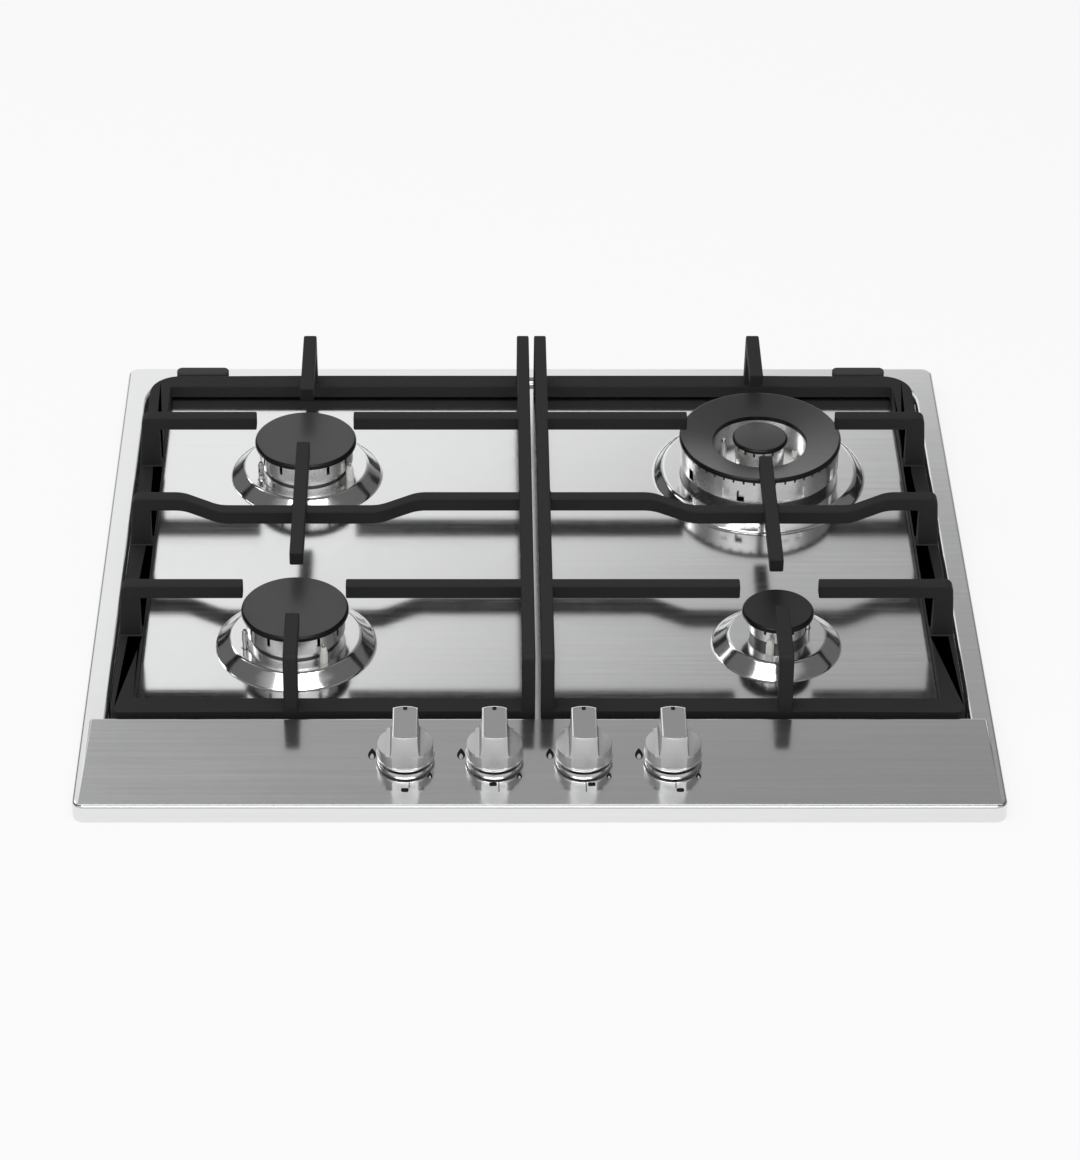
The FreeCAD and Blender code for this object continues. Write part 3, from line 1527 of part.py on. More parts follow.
def build_knob(name):
    """Builds a control knob with a bar grip, a marker notch and a bore for the spindle."""
    label = f"knob_{name}"
    body = new_body(label, knob_x(name), knob_row())
    low = knob_bottom()
    high = low + size("knob_height")
    foot = size("knob_radius")
    crown = size("knob_top_radius")
    edge = size("knob_round")
    wall = size("knob_wall")
    cavity = low + size("knob_cavity")
    boss_foot = low + size("knob_round")
    bore = size("spindle_radius") + size("running_clear")
    bore_top = low + size("spindle_grip")
    turn(body, [
        (0, high), (crown - edge, high), (crown, high - edge), (foot, low + edge),
        (foot - edge, low), (foot - wall, low), (crown - wall, cavity),
        (size("knob_boss"), cavity), (size("knob_boss"), boss_foot), (bore, boss_foot),
        (bore, bore_top), (0, bore_top),
    ])
    shoulder = high - size("knob_shoulder")
    waist = shoulder + size("knob_shoulder") / 4
    grip = size("knob_grip")
    grip_foot = size("knob_grip_foot")
    reach = foot + wall
    above = high + wall
    scoops = new_sketch(body, "XZ_Plane")
    for side in (-1, 1):
        add_polygon(scoops, [
            (grip * side, above), ((grip + edge / 2) * side, waist + size("knob_shoulder") / 2),
            ((grip + edge * 2) * side, waist), (grip_foot * side, shoulder),
            (reach * side, shoulder), (reach * side, above),
        ])
    pocket(body, scoops, reach * 2, middle=True)
    notch = new_sketch(body, "XY_Plane", high)
    half = size("knob_notch")
    back = crown - edge * 2
    front = back - size("knob_notch_length")
    add_polygon(notch, [(-half, front), (half, front), (half, back), (-half, back)])
    pocket(body, notch, size("knob_notch_depth"))
    keep(label, body)


def build_spindle(name):
    """Builds the tap spindle that carries the knob."""
    label = f"tap_spindle_{name}"
    body = new_body(label, knob_x(name), knob_row())
    radius = size("spindle_radius")
    foot = -size("spindle_drop")
    top = knob_bottom() + size("spindle_grip") - size("running_clear")
    turn(body, [(0, foot), (radius, foot), (radius, top), (0, top)])
    flat = new_sketch(body, "XY_Plane", top)
    wide = radius + size("running_clear")
    add_polygon(flat, [
        (-wide, size("spindle_flat")), (wide, size("spindle_flat")), (wide, wide), (-wide, wide),
    ])
    pocket(body, flat, size("spindle_grip") - size("knob_round"))
    keep(label, body)


def build_plug(name):
    """Builds the turning plug inside a tap, in which the spindle slides."""
    label = f"tap_plug_{name}"
    body = new_body(label, knob_x(name), knob_row())
    radius = size("plug_radius")
    bore = size("spindle_radius") + size("running_clear")
    foot = -size("plug_bottom")
    bore_foot = -size("spindle_drop") - size("knob_gap") - size("spigot_wall")
    turn(body, [
        (0, foot), (radius, foot), (radius, size("plug_top")), (bore, size("plug_top")),
        (bore, bore_foot), (0, bore_foot),
    ])
    port = new_sketch(body, "XZ_Plane")
    add_circle(port, 0, bore_foot - size("jet_radius") * 4, size("jet_radius") * 2)
    pocket(body, port, radius * 2, middle=True)
    keep(label, body)


def build_tap(name):
    """Builds the brass body of a gas tap, from its manifold seat to its outlet."""
    label = f"gas_tap_{name}"
    body = new_body(label, knob_x(name), knob_row())
    half = size("tap_width") / 2
    front = -size("tap_front")
    back = size("tap_back")
    foot = -size("tap_bottom")
    shoulder = -size("tap_shoulder")
    base = new_sketch(body, "XY_Plane", foot)
    add_polygon(base, [(-half, front), (half, front), (half, back), (-half, back)])
    pad(body, base, shoulder - foot)
    collar = new_sketch(body, "XY_Plane", shoulder)
    add_circle(collar, 0, 0, size("collar_radius"))
    pad(body, collar, size("plug_top") - shoulder)
    outlet = new_sketch(body, "XZ_Plane", -back)
    add_circle(outlet, 0, -size("pipe_z"), size("outlet_radius"))
    spout = pad(body, outlet, size("outlet_length"))
    spout.Reversed = True
    bore = new_sketch(body, "XY_Plane", size("plug_top"))
    add_circle(bore, 0, 0, size("plug_radius") + size("running_clear"))
    pocket(body, bore, size("plug_top") + size("plug_bottom") + size("running_clear"))
    way = new_sketch(body, "XZ_Plane", -(back + size("outlet_length")))
    add_circle(way, 0, -size("pipe_z"), size("pipe_radius") + size("running_clear"))
    pocket(body, way, size("outlet_length"), reverse=True)
    keep(label, body)


def build_bezels():
    """Builds the black bezel rings that line the spindle holes."""
    members = []
    bore = size("spindle_radius") + size("hole_clear")
    neck = size("spindle_hole") - size("seat_clear")
    seat = panel_height(knob_row() + size("bezel_radius"))
    foot = panel_height(knob_row() - size("bezel_radius")) - size("sheet_thick") * 2
    top = seat + size("bezel_height")
    for name in KNOB_ORDER:
        body = new_body(f"bezel_{name}", knob_x(name), knob_row())
        turn(body, [
            (bore, foot), (neck, foot), (neck, seat), (size("bezel_radius"), seat),
            (size("bezel_radius"), top), (bore, top),
        ])
        members.append(body)
    group("knob_bezels", members)


def build_switch_strip():
    """Builds the ignition switch strip that lies on the tap shoulders."""
    body = new_body("ignition_switch_strip", None, knob_row())
    half = size("knob_pitch") * (len(KNOB_ORDER) - 1) / 2 + size("switch_end")
    deep = size("switch_depth") / 2
    plan = new_sketch(body, "XY_Plane", -size("tap_shoulder"))
    add_polygon(plan, rectangle(half, deep))
    for name in KNOB_ORDER:
        add_circle(plan, knob_x(name), 0, size("collar_radius") + size("seat_clear"))
    pad(body, plan, size("switch_height"))
    keep("ignition_switch_strip", body)


# ---------------------------------------------------------------- gas way and electrics


def build_gas_way():
    """Builds the manifold, its inlet elbow and the four gas pipes."""
    manifold_y = knob_row() - size("tap_front") - size("manifold_radius")
    keep("gas_manifold", tube(
        "gas_manifold", -size("manifold_z"),
        [
            (size("inlet_x"), size("inlet_y") - size("inlet_reach")),
            (size("inlet_x"), manifold_y), (-size("manifold_end"), manifold_y),
        ],
        size("manifold_bend"), size("manifold_radius"), size("manifold_wall"),
    ))
    pipes = []
    start_y = knob_row() + size("tap_back") + size("outlet_length") - size("pipe_seat")
    for burner in burners():
        rear = burner.y.value > 0
        turn_y = size("rear_pipe_y") if rear else -size("front_pipe_y")
        pipes.append(tube(
            f"gas_pipe_{burner.name}", -size("pipe_z"),
            [
                (knob_x(burner.name), start_y), (knob_x(burner.name), turn_y),
                (burner.x, turn_y), (burner.x, burner.y - size("boss_radius") + size("pipe_seat")),
            ],
            size("pipe_bend"), size("pipe_radius"), size("pipe_wall"),
        ))
    group("gas_pipes", pipes)


def build_inlet():
    """Builds the brass elbow with the gas thread that points down."""
    body = new_body("gas_inlet_elbow", size("inlet_x"), size("inlet_y"))
    radius = size("inlet_body")
    step_top = box_bottom() + size("box_step")
    height = -size("manifold_z")
    top = height + radius
    foot = box_bottom() + size("sheet_thick")
    thread = size("inlet_radius")
    neck = thread - size("thread_clear")
    neck_foot = step_top - size("sheet_thick")
    turn(body, [
        (0, foot), (thread, foot), (thread, neck_foot), (neck, neck_foot), (neck, step_top),
        (radius, step_top), (radius, top), (0, top),
    ])
    arm = new_sketch(body, "XZ_Plane")
    add_circle(arm, 0, height, size("manifold_radius") + size("manifold_wall"))
    pad(body, arm, size("inlet_reach"))
    bore = new_sketch(body, "XY_Plane", foot)
    add_circle(bore, 0, 0, size("inlet_bore"))
    pocket(body, bore, height - foot, reverse=True)
    way = new_sketch(body, "XZ_Plane")
    add_circle(way, 0, height, size("manifold_radius") - size("manifold_wall"))
    pocket(body, way, size("inlet_reach"), reverse=True)
    keep("gas_inlet_elbow", body)


def build_spark_generator():
    """Builds the spark generator on the box floor, with a terminal for each electrode."""
    body = new_body("spark_generator", None, size("spark_y"))
    foot = box_bottom() + size("sheet_thick")
    half = size("spark_width") / 2
    deep = size("spark_depth") / 2
    base = new_sketch(body, "XY_Plane", foot)
    add_polygon(base, rectangle(half, deep))
    pad(body, base, size("spark_height"))
    posts = new_sketch(body, "XZ_Plane", deep)
    for number in range(len(BURNERS)):
        add_circle(posts, spark_post_x(number), -size("lead_z"), size("spark_post"))
    pad(body, posts, size("spark_post_length"))
    keep("spark_generator", body)


def spark_post_x(number):
    """Returns the place of a terminal of the spark generator."""
    pitch = size("spark_width") / (len(BURNERS) + 1)
    return pitch * (number + 1) - size("spark_width") / 2


def build_leads():
    """Builds the ignition leads and the thermocouple leads along the box floor."""
    sparks = []
    probes = []
    post_tip = size("spark_y") - size("spark_depth") / 2 - size("spark_post_length")
    floor = -size("lead_z")
    low = -size("probe_lead_z")
    tap_under = -size("tap_bottom")
    for burner in burners():
        start_x = spark_post_x(LEAD_ORDER.index(burner.name))
        x, y = burner.electrode_place()
        foot = burner.mounting - size("electrode_drop") - size("electrode_point")
        sparks.append(lead(f"ignition_lead_{burner.name}", size("lead_radius"), [
            (start_x, post_tip, floor), (start_x, post_tip - size("lead_start"), floor),
            (x, y, floor), (x, y, foot),
        ]))
        x, y = burner.probe_place()
        nut = burner.mounting - size("probe_nut_height")
        knob = knob_x(burner.name)
        probes.append(lead(f"probe_lead_{burner.name}", size("probe_lead_radius"), [
            (x, y, nut), (x, y, low), (knob, knob_row(), low), (knob, knob_row(), tap_under),
        ]))
    group("ignition_leads", sparks)
    group("thermocouple_leads", probes)


def lead(label, radius, corners):
    """Makes a round lead along straight runs joined by bends."""
    spots = [vector(*corner) for corner in corners]
    bend = size("lead_bend").value
    edges = []
    last = spots[0]
    for before, spot, after in zip(spots, spots[1:], spots[2:]):
        inwards = (before - spot).normalize()
        outwards = (after - spot).normalize()
        start = spot + inwards * bend
        end = spot + outwards * bend
        half_angle = inwards.getAngle(outwards) / 2
        across = (inwards + outwards).normalize()
        arc_radius = bend * math.tan(half_angle)
        middle = spot + across * (bend / math.cos(half_angle) - arc_radius)
        edges.append(Part.makeLine(last, start))
        edges.append(Part.Arc(start, middle, end).toShape())
        last = end
    edges.append(Part.makeLine(last, spots[-1]))
    section = Part.Wire([Part.makeCircle(radius.value, spots[0], spots[1] - spots[0])])
    solid = doc.addObject("Part::Feature", label)
    solid.Shape = Part.Wire(edges).makePipeShell([section], True, False)
    return solid


def build_mains():
    """Builds the mains terminal block and the cable gland in the raised rear left corner."""
    foot = box_bottom() + size("sheet_thick")
    row = box_half_depth() - size("terminal_depth")
    body = new_body("mains_terminal_block", -size("terminal_x"), row)
    half = size("terminal_width") / 2
    deep = size("terminal_depth") / 2
    base = new_sketch(body, "XY_Plane", foot)
    add_polygon(base, rectangle(half, deep))
    pad(body, base, size("terminal_height"))
    holes = new_sketch(body, "XY_Plane", foot + size("terminal_height"))
    pitch = size("terminal_width") / 4
    for number in range(3):
        add_circle(holes, pitch * (number + 1) - half, 0, size("terminal_hole"))
    pocket(body, holes, size("terminal_height") / 2)
    keep("mains_terminal_block", body)

    gland = new_body("cable_gland", -size("gland_x"), size("inlet_y"))
    step_top = box_bottom() + size("box_step")
    bore = size("gland_bore")
    turn(gland, [
        (bore, foot), (size("gland_radius"), foot), (size("gland_radius"), step_top),
        (size("gland_flange"), step_top),
        (size("gland_flange"), step_top + size("gland_flange_height")),
        (bore, step_top + size("gland_flange_height")),
    ])
    keep("cable_gland", gland)


# ---------------------------------------------------------------- whole cooktop


def build_all():
    """Builds every sub-part."""
    fill_sheet()
    by_name = {burner.name: burner for burner in burners()}
    build_top()
    build_covers()
    build_box()
    build_seal()
    screws = build_clamps()
    build_injectors()
    build_brackets()
    build_cup_screws()
    build_leads()
    for burner in by_name.values():
        build_cup(burner)
        if burner.kind == "triple":
            build_triple_crown(burner)
            build_ring_cap(burner)
        else:
            build_crown(burner)
            build_cap(burner)
    build_sensors()
    group("clamp_screws", screws)
    build_support("left", -1, by_name["front_left"], by_name["rear_left"])
    build_support("right", 1, by_name["front_right"], by_name["rear_right"])
    build_feet("left", -1)
    build_feet("right", 1)
    for name in KNOB_ORDER:
        build_knob(name)
        build_spindle(name)
        build_plug(name)
        build_tap(name)
    build_bezels()
    build_switch_strip()
    build_gas_way()
    build_inlet()
    build_spark_generator()
    build_mains()
    doc.recompute()


def check_and_write():
    """Checks every object and writes each sub-part to its own file."""
    for obj in doc.Objects:
        if "Invalid" in obj.State or "Error" in obj.State:
            raise RuntimeError(f"{obj.Label} failed: {obj.State}")
    os.makedirs("parts", exist_ok=True)
    for label, obj in nodes.items():
        shape = obj.Shape
        if shape.isNull() or not shape.isValid() or not shape.Solids:
            raise RuntimeError(f"{label} has no valid solid")
        shape.exportStep(os.path.join("parts", f"{label}.step"))
        print(label, len(shape.Solids), round(shape.Volume), shape.BoundBox)


build_all()
check_and_write()
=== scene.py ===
"""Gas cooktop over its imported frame: finishes, cast and pressed forms, knobs, studio and camera."""
import json
import logging
import math
from dataclasses import dataclass
from enum import Enum
from typing import Any, Callable, Iterable, Sequence

import bmesh
import bpy
from mathutils import Matrix, Vector

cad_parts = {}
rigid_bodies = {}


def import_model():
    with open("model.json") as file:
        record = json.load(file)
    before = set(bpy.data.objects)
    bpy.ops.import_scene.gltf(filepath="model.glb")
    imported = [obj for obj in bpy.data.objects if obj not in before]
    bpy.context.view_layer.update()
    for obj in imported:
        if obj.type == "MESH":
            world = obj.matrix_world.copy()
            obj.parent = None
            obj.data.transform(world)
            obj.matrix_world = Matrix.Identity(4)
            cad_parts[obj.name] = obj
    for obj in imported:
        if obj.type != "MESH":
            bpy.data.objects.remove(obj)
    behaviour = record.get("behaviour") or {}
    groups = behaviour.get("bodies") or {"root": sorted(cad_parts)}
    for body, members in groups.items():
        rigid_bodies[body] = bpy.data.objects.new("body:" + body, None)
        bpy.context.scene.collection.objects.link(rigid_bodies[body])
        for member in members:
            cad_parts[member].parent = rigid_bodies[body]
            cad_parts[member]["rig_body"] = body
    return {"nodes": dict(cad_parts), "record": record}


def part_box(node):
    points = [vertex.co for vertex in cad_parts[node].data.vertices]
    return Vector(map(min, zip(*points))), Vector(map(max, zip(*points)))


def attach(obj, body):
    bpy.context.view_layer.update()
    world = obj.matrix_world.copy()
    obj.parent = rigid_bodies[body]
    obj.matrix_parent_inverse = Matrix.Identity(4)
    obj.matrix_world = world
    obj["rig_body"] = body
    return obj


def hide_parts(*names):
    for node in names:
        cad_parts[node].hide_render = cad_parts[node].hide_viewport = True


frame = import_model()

logging.basicConfig(level=logging.INFO, format="%(message)s")
LOG = logging.getLogger("cooktop")
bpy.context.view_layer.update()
MM = 0.001
BRUSHING_MAP = "brushing"
Colour = tuple[float, float, float]
Socket = bpy.types.NodeSocket


# ---------------------------------------------------------------- node trees


class Graph:
    """Adds nodes to one shader or geometry tree."""

    def __init__(self, tree: bpy.types.NodeTree) -> None:
        """Takes the tree that the nodes go into."""
        self.tree = tree

    def add(self, kind: str, inputs: dict[Any, Any] | None = None, **settings: Any) -> bpy.types.Node:
        """Adds a node.

        Args:
            kind: The node's type name.
            inputs: Values or sockets for its inputs, by name or number.
            settings: Properties of the node.

        Returns:
            The new node.
        """
        node = self.tree.nodes.new(kind)
        for name, value in settings.items():
            setattr(node, name, value)
        for key, value in (inputs or {}).items():
            socket = node.inputs[key]
            if isinstance(value, bpy.types.NodeSocket):
                self.tree.links.new(value, socket)
            else:
                socket.default_value = value
        return node

    def math(self, operation: str, first: Any, second: Any = 0.0, clamp: bool = False) -> Socket:
        """Returns the result of a math node, kept between 0 and 1 if asked."""
        node = self.add("ShaderNodeMath", {0: first, 1: second}, operation=operation, use_clamp=clamp)
        return node.outputs[0]

    def blend(self, factor: Any, first: Any, second: Any) -> Socket:
        """Mixes two colours.

        Args:
            factor: Share of the second colour.
            first: First colour or socket.
            second: Second colour or socket.

        Returns:
            The mixed colour's socket.
        """
        node = self.add("ShaderNodeMix", data_type="RGBA")
        for socket, value in ((node.inputs[0], factor), (node.inputs[6], first), (node.inputs[7], second)):
            if isinstance(value, bpy.types.NodeSocket):
                self.tree.links.new(value, socket)
            elif isinstance(value, tuple):
                socket.default_value = (*value, 1.0)
            else:
                socket.default_value = value
        return node.outputs[2]

    def spread(self, value: Any, low: float, high: float, to_low: float = 0.0, to_high: float = 1.0) -> Socket:
        """Maps the range from low to high to the range from to_low to to_high."""
        return self.add("ShaderNodeMapRange", {0: value, 1: low, 2: high, 3: to_low, 4: to_high}).outputs[0]

    def mix(self, first: Any, second: Any, share: float) -> Socket:
        """Returns the sum of two values, where the first has this share."""
        return self.math("ADD", self.math("MULTIPLY", first, share), self.math("MULTIPLY", second, 1.0 - share))

    def noise(self, place: Any, scale: Any, detail: float, **more: Any) -> Socket:
        """Returns the value of a noise at a place, with more of its inputs by name."""
        inputs = {"Vector": place, "Scale": scale, "Detail": detail, **more}
        return self.add("ShaderNodeTexNoise", inputs).outputs[0]

    def here(self) -> Socket:
        """Returns the place on the object."""
        return self.add("ShaderNodeTexCoord").outputs["Object"]

    def feed(self, node: bpy.types.Node, **sockets: Socket) -> None:
        """Links sockets to a node's inputs, with underscores for spaces."""
        for name, value in sockets.items():
            self.tree.links.new(value, node.inputs[name.replace("_", " ")])

    def ramp(self, value: Any, stops: Sequence[tuple[float, float]]) -> Socket:
        """Maps a value to greys through stops of a place and a grey each, from low to high."""
        node = self.add("ShaderNodeValToRGB", {0: value})
        row = node.color_ramp.elements
        for place, _ in stops[2:]:
            row.new(place)
        for element, (place, grey) in zip(row, stops):
            element.position = place
            element.color = (grey, grey, grey, 1.0)
        return node.outputs[0]


class SurfaceGroup(Enum):
    """Shader groups that several finishes share."""

    BRUSHING = "brushed_grain"
    CASTING = "cast_grain"
    EDGE = "edge_wear"
    HANDLING = "handling_marks"


def new_group(kind: SurfaceGroup, inputs: dict[str, float], outputs: Sequence[str]) -> tuple[Graph, Any, Any]:
    """Starts a shader group.

    Args:
        kind: Which group it is.
        inputs: Input names with their usual values.
        outputs: Output names.

    Returns:
        Its graph, its input node and its output node.
    """
    tree = bpy.data.node_groups.new(kind.value, "ShaderNodeTree")
    for name, value in inputs.items():
        socket = tree.interface.new_socket(name, in_out="INPUT", socket_type="NodeSocketFloat")
        socket.default_value = value
    for name in outputs:
        tree.interface.new_socket(name, in_out="OUTPUT", socket_type="NodeSocketFloat")
    graph = Graph(tree)
    return graph, graph.add("NodeGroupInput"), graph.add("NodeGroupOutput")


def build_brushing() -> None:
    """Builds the group for steel brushed from left to right."""
    graph, given, out = new_group(SurfaceGroup.BRUSHING, {"Fineness": 900.0, "Length": 14.0}, ("Streak", "Height"))
    fineness = given.outputs["Fineness"]
    size = graph.add("ShaderNodeCombineXYZ", {0: given.outputs["Length"], 1: fineness, 2: fineness})
    scaled = graph.add("ShaderNodeVectorMath", {0: graph.here(), 1: size.outputs[0]}, operation="MULTIPLY").outputs[0]
    fine = graph.noise(scaled, 1.0, 5.0, Roughness=0.65)
    broad = graph.noise(scaled, 0.22, 3.0)
    graph.feed(out, Streak=graph.mix(fine, broad, 0.6), Height=fine)


def build_casting() -> None:
    """Builds the group for sand cast and die cast skins."""
    graph, given, out = new_group(SurfaceGroup.CASTING, {"Grain": 900.0}, ("Height", "Speckle"))
    place = graph.here()
    grain = graph.noise(place, given.outputs["Grain"], 4.0, Roughness=0.7)
    pit_scale = graph.math("MULTIPLY", given.outputs["Grain"], 0.6)
    pits = graph.add("ShaderNodeTexVoronoi", {"Vector": place, "Scale": pit_scale}, feature="SMOOTH_F1")
    graph.feed(out, Height=graph.mix(grain, pits.outputs["Distance"], 0.65), Speckle=graph.spread(grain, 0.35, 0.65))


def build_edge_wear_and_highlight() -> None:
    """Builds the group that lightens convex edges: partly rubbed by use and partly a painted highlight along them."""
    graph, given, out = new_group(SurfaceGroup.EDGE, {"Start": 0.53, "Break up": 220.0}, ("Wear",))
    bend = graph.add("ShaderNodeNewGeometry").outputs["Pointiness"]
    patch = graph.noise(graph.here(), given.outputs["Break up"], 3.0)
    edge = graph.math("MULTIPLY", graph.math("SUBTRACT", bend, given.outputs["Start"]), 14.0, clamp=True)
    graph.feed(out, Wear=graph.math("MULTIPLY", edge, graph.spread(patch, 0.3, 0.6, 0.35, 1.0), clamp=True))


def build_handling() -> None:
    """Builds the group for faint wiping marks and uneven gloss."""
    graph, given, out = new_group(SurfaceGroup.HANDLING, {"Size": 9.0}, ("Haze",))
    place, size = graph.here(), given.outputs["Size"]
    clouds = graph.noise(place, size, 4.0, Distortion=0.6)
    fine = graph.noise(place, graph.math("MULTIPLY", size, 16.0), 2.0)
    graph.feed(out, Haze=graph.spread(graph.mix(clouds, fine, 0.7), 0.35, 0.65))


def use_group(graph: Graph, kind: SurfaceGroup, **values: float) -> bpy.types.Node:
    """Places a shader group in a material, with values for its inputs."""
    node = graph.add("ShaderNodeGroup", node_tree=bpy.data.node_groups[kind.value])
    for name, value in values.items():
        node.inputs[name].default_value = value
    return node


# ---------------------------------------------------------------- finishes


@dataclass(frozen=True)
class Finish:
    """A surface finish that makes its material once."""

    label: str
    colour: Colour
    roughness: float

    def material(self) -> bpy.types.Material:
        """Returns the finish's material."""
        found = bpy.data.materials.get(self.label)
        if found is None:
            found = bpy.data.materials.new(self.label)
            found.use_nodes = True
            graph = Graph(found.node_tree)
            self.dress(graph, found.node_tree.nodes["Principled BSDF"])
            found.diffuse_color = (*self.colour, 1.0)
        return found

    def dress(self, graph: Graph, shader: bpy.types.Node) -> None:
        """Sets the shader and its textures."""
        raise NotImplementedError

    def rough(self, graph: Graph, haze: Any, less: float, more: float) -> Socket:
        """Returns the roughness, less where there is no haze and more where it is thick."""
        return graph.spread(haze, 0.0, 1.0, self.roughness - less, self.roughness + more)

    def bump(self, graph: Graph, height: Any, strength: float, distance: float) -> Socket:
        """Turns a height into a bumped normal."""
        return graph.add("ShaderNodeBump", {"Height": height, "Strength": strength, "Distance": distance}).outputs[0]


@dataclass(frozen=True)
class BrushedSteel(Finish):
    """Stainless or galvanised sheet with long brushing marks."""

    fineness: float = 900.0
    length: float = 14.0
    anisotropy: float = 0.6
    relief: float = 0.06
    contrast: float = 0.08

    def dress(self, graph: Graph, shader: bpy.types.Node) -> None:
        """Sets the shader and its textures."""
        brushing = use_group(graph, SurfaceGroup.BRUSHING, Fineness=self.fineness, Length=self.length)
        haze = use_group(graph, SurfaceGroup.HANDLING, Size=7.0).outputs["Haze"]
        streak = brushing.outputs["Streak"]
        dark = tuple(channel * (1.0 - self.contrast) for channel in self.colour)
        shade = graph.blend(graph.spread(streak, 0.35, 0.65), dark, self.colour)
        rough = graph.math("ADD", graph.spread(streak, 0.3, 0.7, -0.04, 0.04), self.rough(graph, haze, 0.02, 0.02))
        shader.inputs["Metallic"].default_value = 1.0
        shader.inputs["Anisotropic"].default_value = self.anisotropy
        if self.anisotropy:
            lie = graph.add("ShaderNodeTangent", direction_type="UV_MAP", uv_map=BRUSHING_MAP)
            graph.feed(shader, Tangent=lie.outputs[0])
        graph.feed(shader, Base_Color=shade, Roughness=rough,
                   Normal=self.bump(graph, brushing.outputs["Height"], self.relief, 0.0001))


@dataclass(frozen=True)
class CastMetal(Finish):
    """Cast surface with a grain, speckle and lighter edges, which are partly rubbed by use and partly a painted
    highlight.
    """

    metallic: float = 0.0
    grain: float = 900.0
    relief: float = 0.4
    wear_and_highlight_colour: Colour = (0.2, 0.2, 0.2)
    wear_and_highlight: float = 0.3
    wear_and_highlight_start: float = 0.53
    gloss: float = 0.5

    def dress(self, graph: Graph, shader: bpy.types.Node) -> None:
        """Sets the shader and its textures."""
        casting = use_group(graph, SurfaceGroup.CASTING, Grain=self.grain)
        edge = use_group(graph, SurfaceGroup.EDGE, Start=self.wear_and_highlight_start).outputs["Wear"]
        haze = use_group(graph, SurfaceGroup.HANDLING, Size=18.0).outputs["Haze"]
        lighter = tuple(min(1.0, channel * 1.22) for channel in self.colour)
        shade = graph.blend(casting.outputs["Speckle"], self.colour, lighter)
        # Lighter colour on convex edges: partly wear, partly a painted highlight.
        wear_and_highlight_colour = graph.blend(graph.math("MULTIPLY", edge, self.wear_and_highlight), shade, self.wear_and_highlight_colour)
        shader.inputs["Metallic"].default_value = self.metallic
        shader.inputs["Specular IOR Level"].default_value = self.gloss
        graph.feed(shader, Base_Color=wear_and_highlight_colour, Roughness=self.rough(graph, haze, 0.05, 0.05),
                   Normal=self.bump(graph, casting.outputs["Height"], self.relief, 0.0002))


@dataclass(frozen=True)
class SatinEnamel(Finish):
    """Vitreous enamel with a faint orange peel."""

    gloss: float = 0.5
    peel: float = 260.0

    def dress(self, graph: Graph, shader: bpy.types.Node) -> None:
        """Sets the shader and its textures."""
        haze = use_group(graph, SurfaceGroup.HANDLING, Size=24.0).outputs["Haze"]
        casting = use_group(graph, SurfaceGroup.CASTING, Grain=self.peel)
        lighter = tuple(channel * 1.12 for channel in self.colour)
        shader.inputs["Specular IOR Level"].default_value = self.gloss
        graph.feed(shader, Base_Color=graph.blend(haze, self.colour, lighter),
                   Roughness=self.rough(graph, haze, 0.03, 0.03),
                   Normal=self.bump(graph, casting.outputs["Height"], 0.1, 0.0001))


@dataclass(frozen=True)
class PlainMetal(Finish):
    """Turned or drawn metal with fine marks and tarnish."""

    tarnish: Colour = (0.3, 0.3, 0.3)
    tarnish_share: float = 0.25

    def dress(self, graph: Graph, shader: bpy.types.Node) -> None:
        """Sets the shader and its textures."""
        haze = use_group(graph, SurfaceGroup.HANDLING, Size=60.0).outputs["Haze"]
        casting = use_group(graph, SurfaceGroup.CASTING, Grain=2200.0)
        shader.inputs["Metallic"].default_value = 1.0
        shade = graph.blend(graph.math("MULTIPLY", haze, self.tarnish_share), self.colour, self.tarnish)
        graph.feed(shader, Base_Color=shade, Roughness=self.rough(graph, haze, 0.05, 0.08),
                   Normal=self.bump(graph, casting.outputs["Height"], 0.08, 0.00008))


@dataclass(frozen=True)
class Moulded(Finish):
    """Moulded plastic, rubber, foam, sleeving or ceramic."""

    grain: float = 1400.0
    relief: float = 0.2
    sheen: float = 0.0
    gloss: float = 0.5

    def dress(self, graph: Graph, shader: bpy.types.Node) -> None:
        """Sets the shader and its textures."""
        haze = use_group(graph, SurfaceGroup.HANDLING, Size=40.0).outputs["Haze"]
        casting = use_group(graph, SurfaceGroup.CASTING, Grain=self.grain)
        edge = use_group(graph, SurfaceGroup.EDGE, Start=0.54).outputs["Wear"]
        darker = tuple(channel * 0.85 for channel in self.colour)
        lighter = tuple(min(1.0, channel * 1.3 + 0.01) for channel in self.colour)
        shade = graph.blend(haze, darker, self.colour)
        shader.inputs["Sheen Weight"].default_value = self.sheen
        shader.inputs["Specular IOR Level"].default_value = self.gloss
        # Lighter convex edges: partly wear, partly a painted highlight.
        graph.feed(shader, Base_Color=graph.blend(graph.math("MULTIPLY", edge, 0.5), shade, lighter),
                   Roughness=self.rough(graph, haze, 0.06, 0.06),
                   Normal=self.bump(graph, casting.outputs["Height"], self.relief, 0.0002))


STEEL = BrushedSteel("brushed_steel", (0.82, 0.825, 0.825), 0.13, fineness=1400.0, anisotropy=0.4, relief=0.03,
                     contrast=0.05)
PANEL_SLOT_STEEL = BrushedSteel("zinc_sheet", (0.58, 0.6, 0.62), 0.38, fineness=300.0, length=60.0,
                                anisotropy=0.0, contrast=0.2)
SPRUNG_STEEL = PlainMetal("bright_steel", (0.62, 0.62, 0.61), 0.28, tarnish=(0.35, 0.33, 0.3))
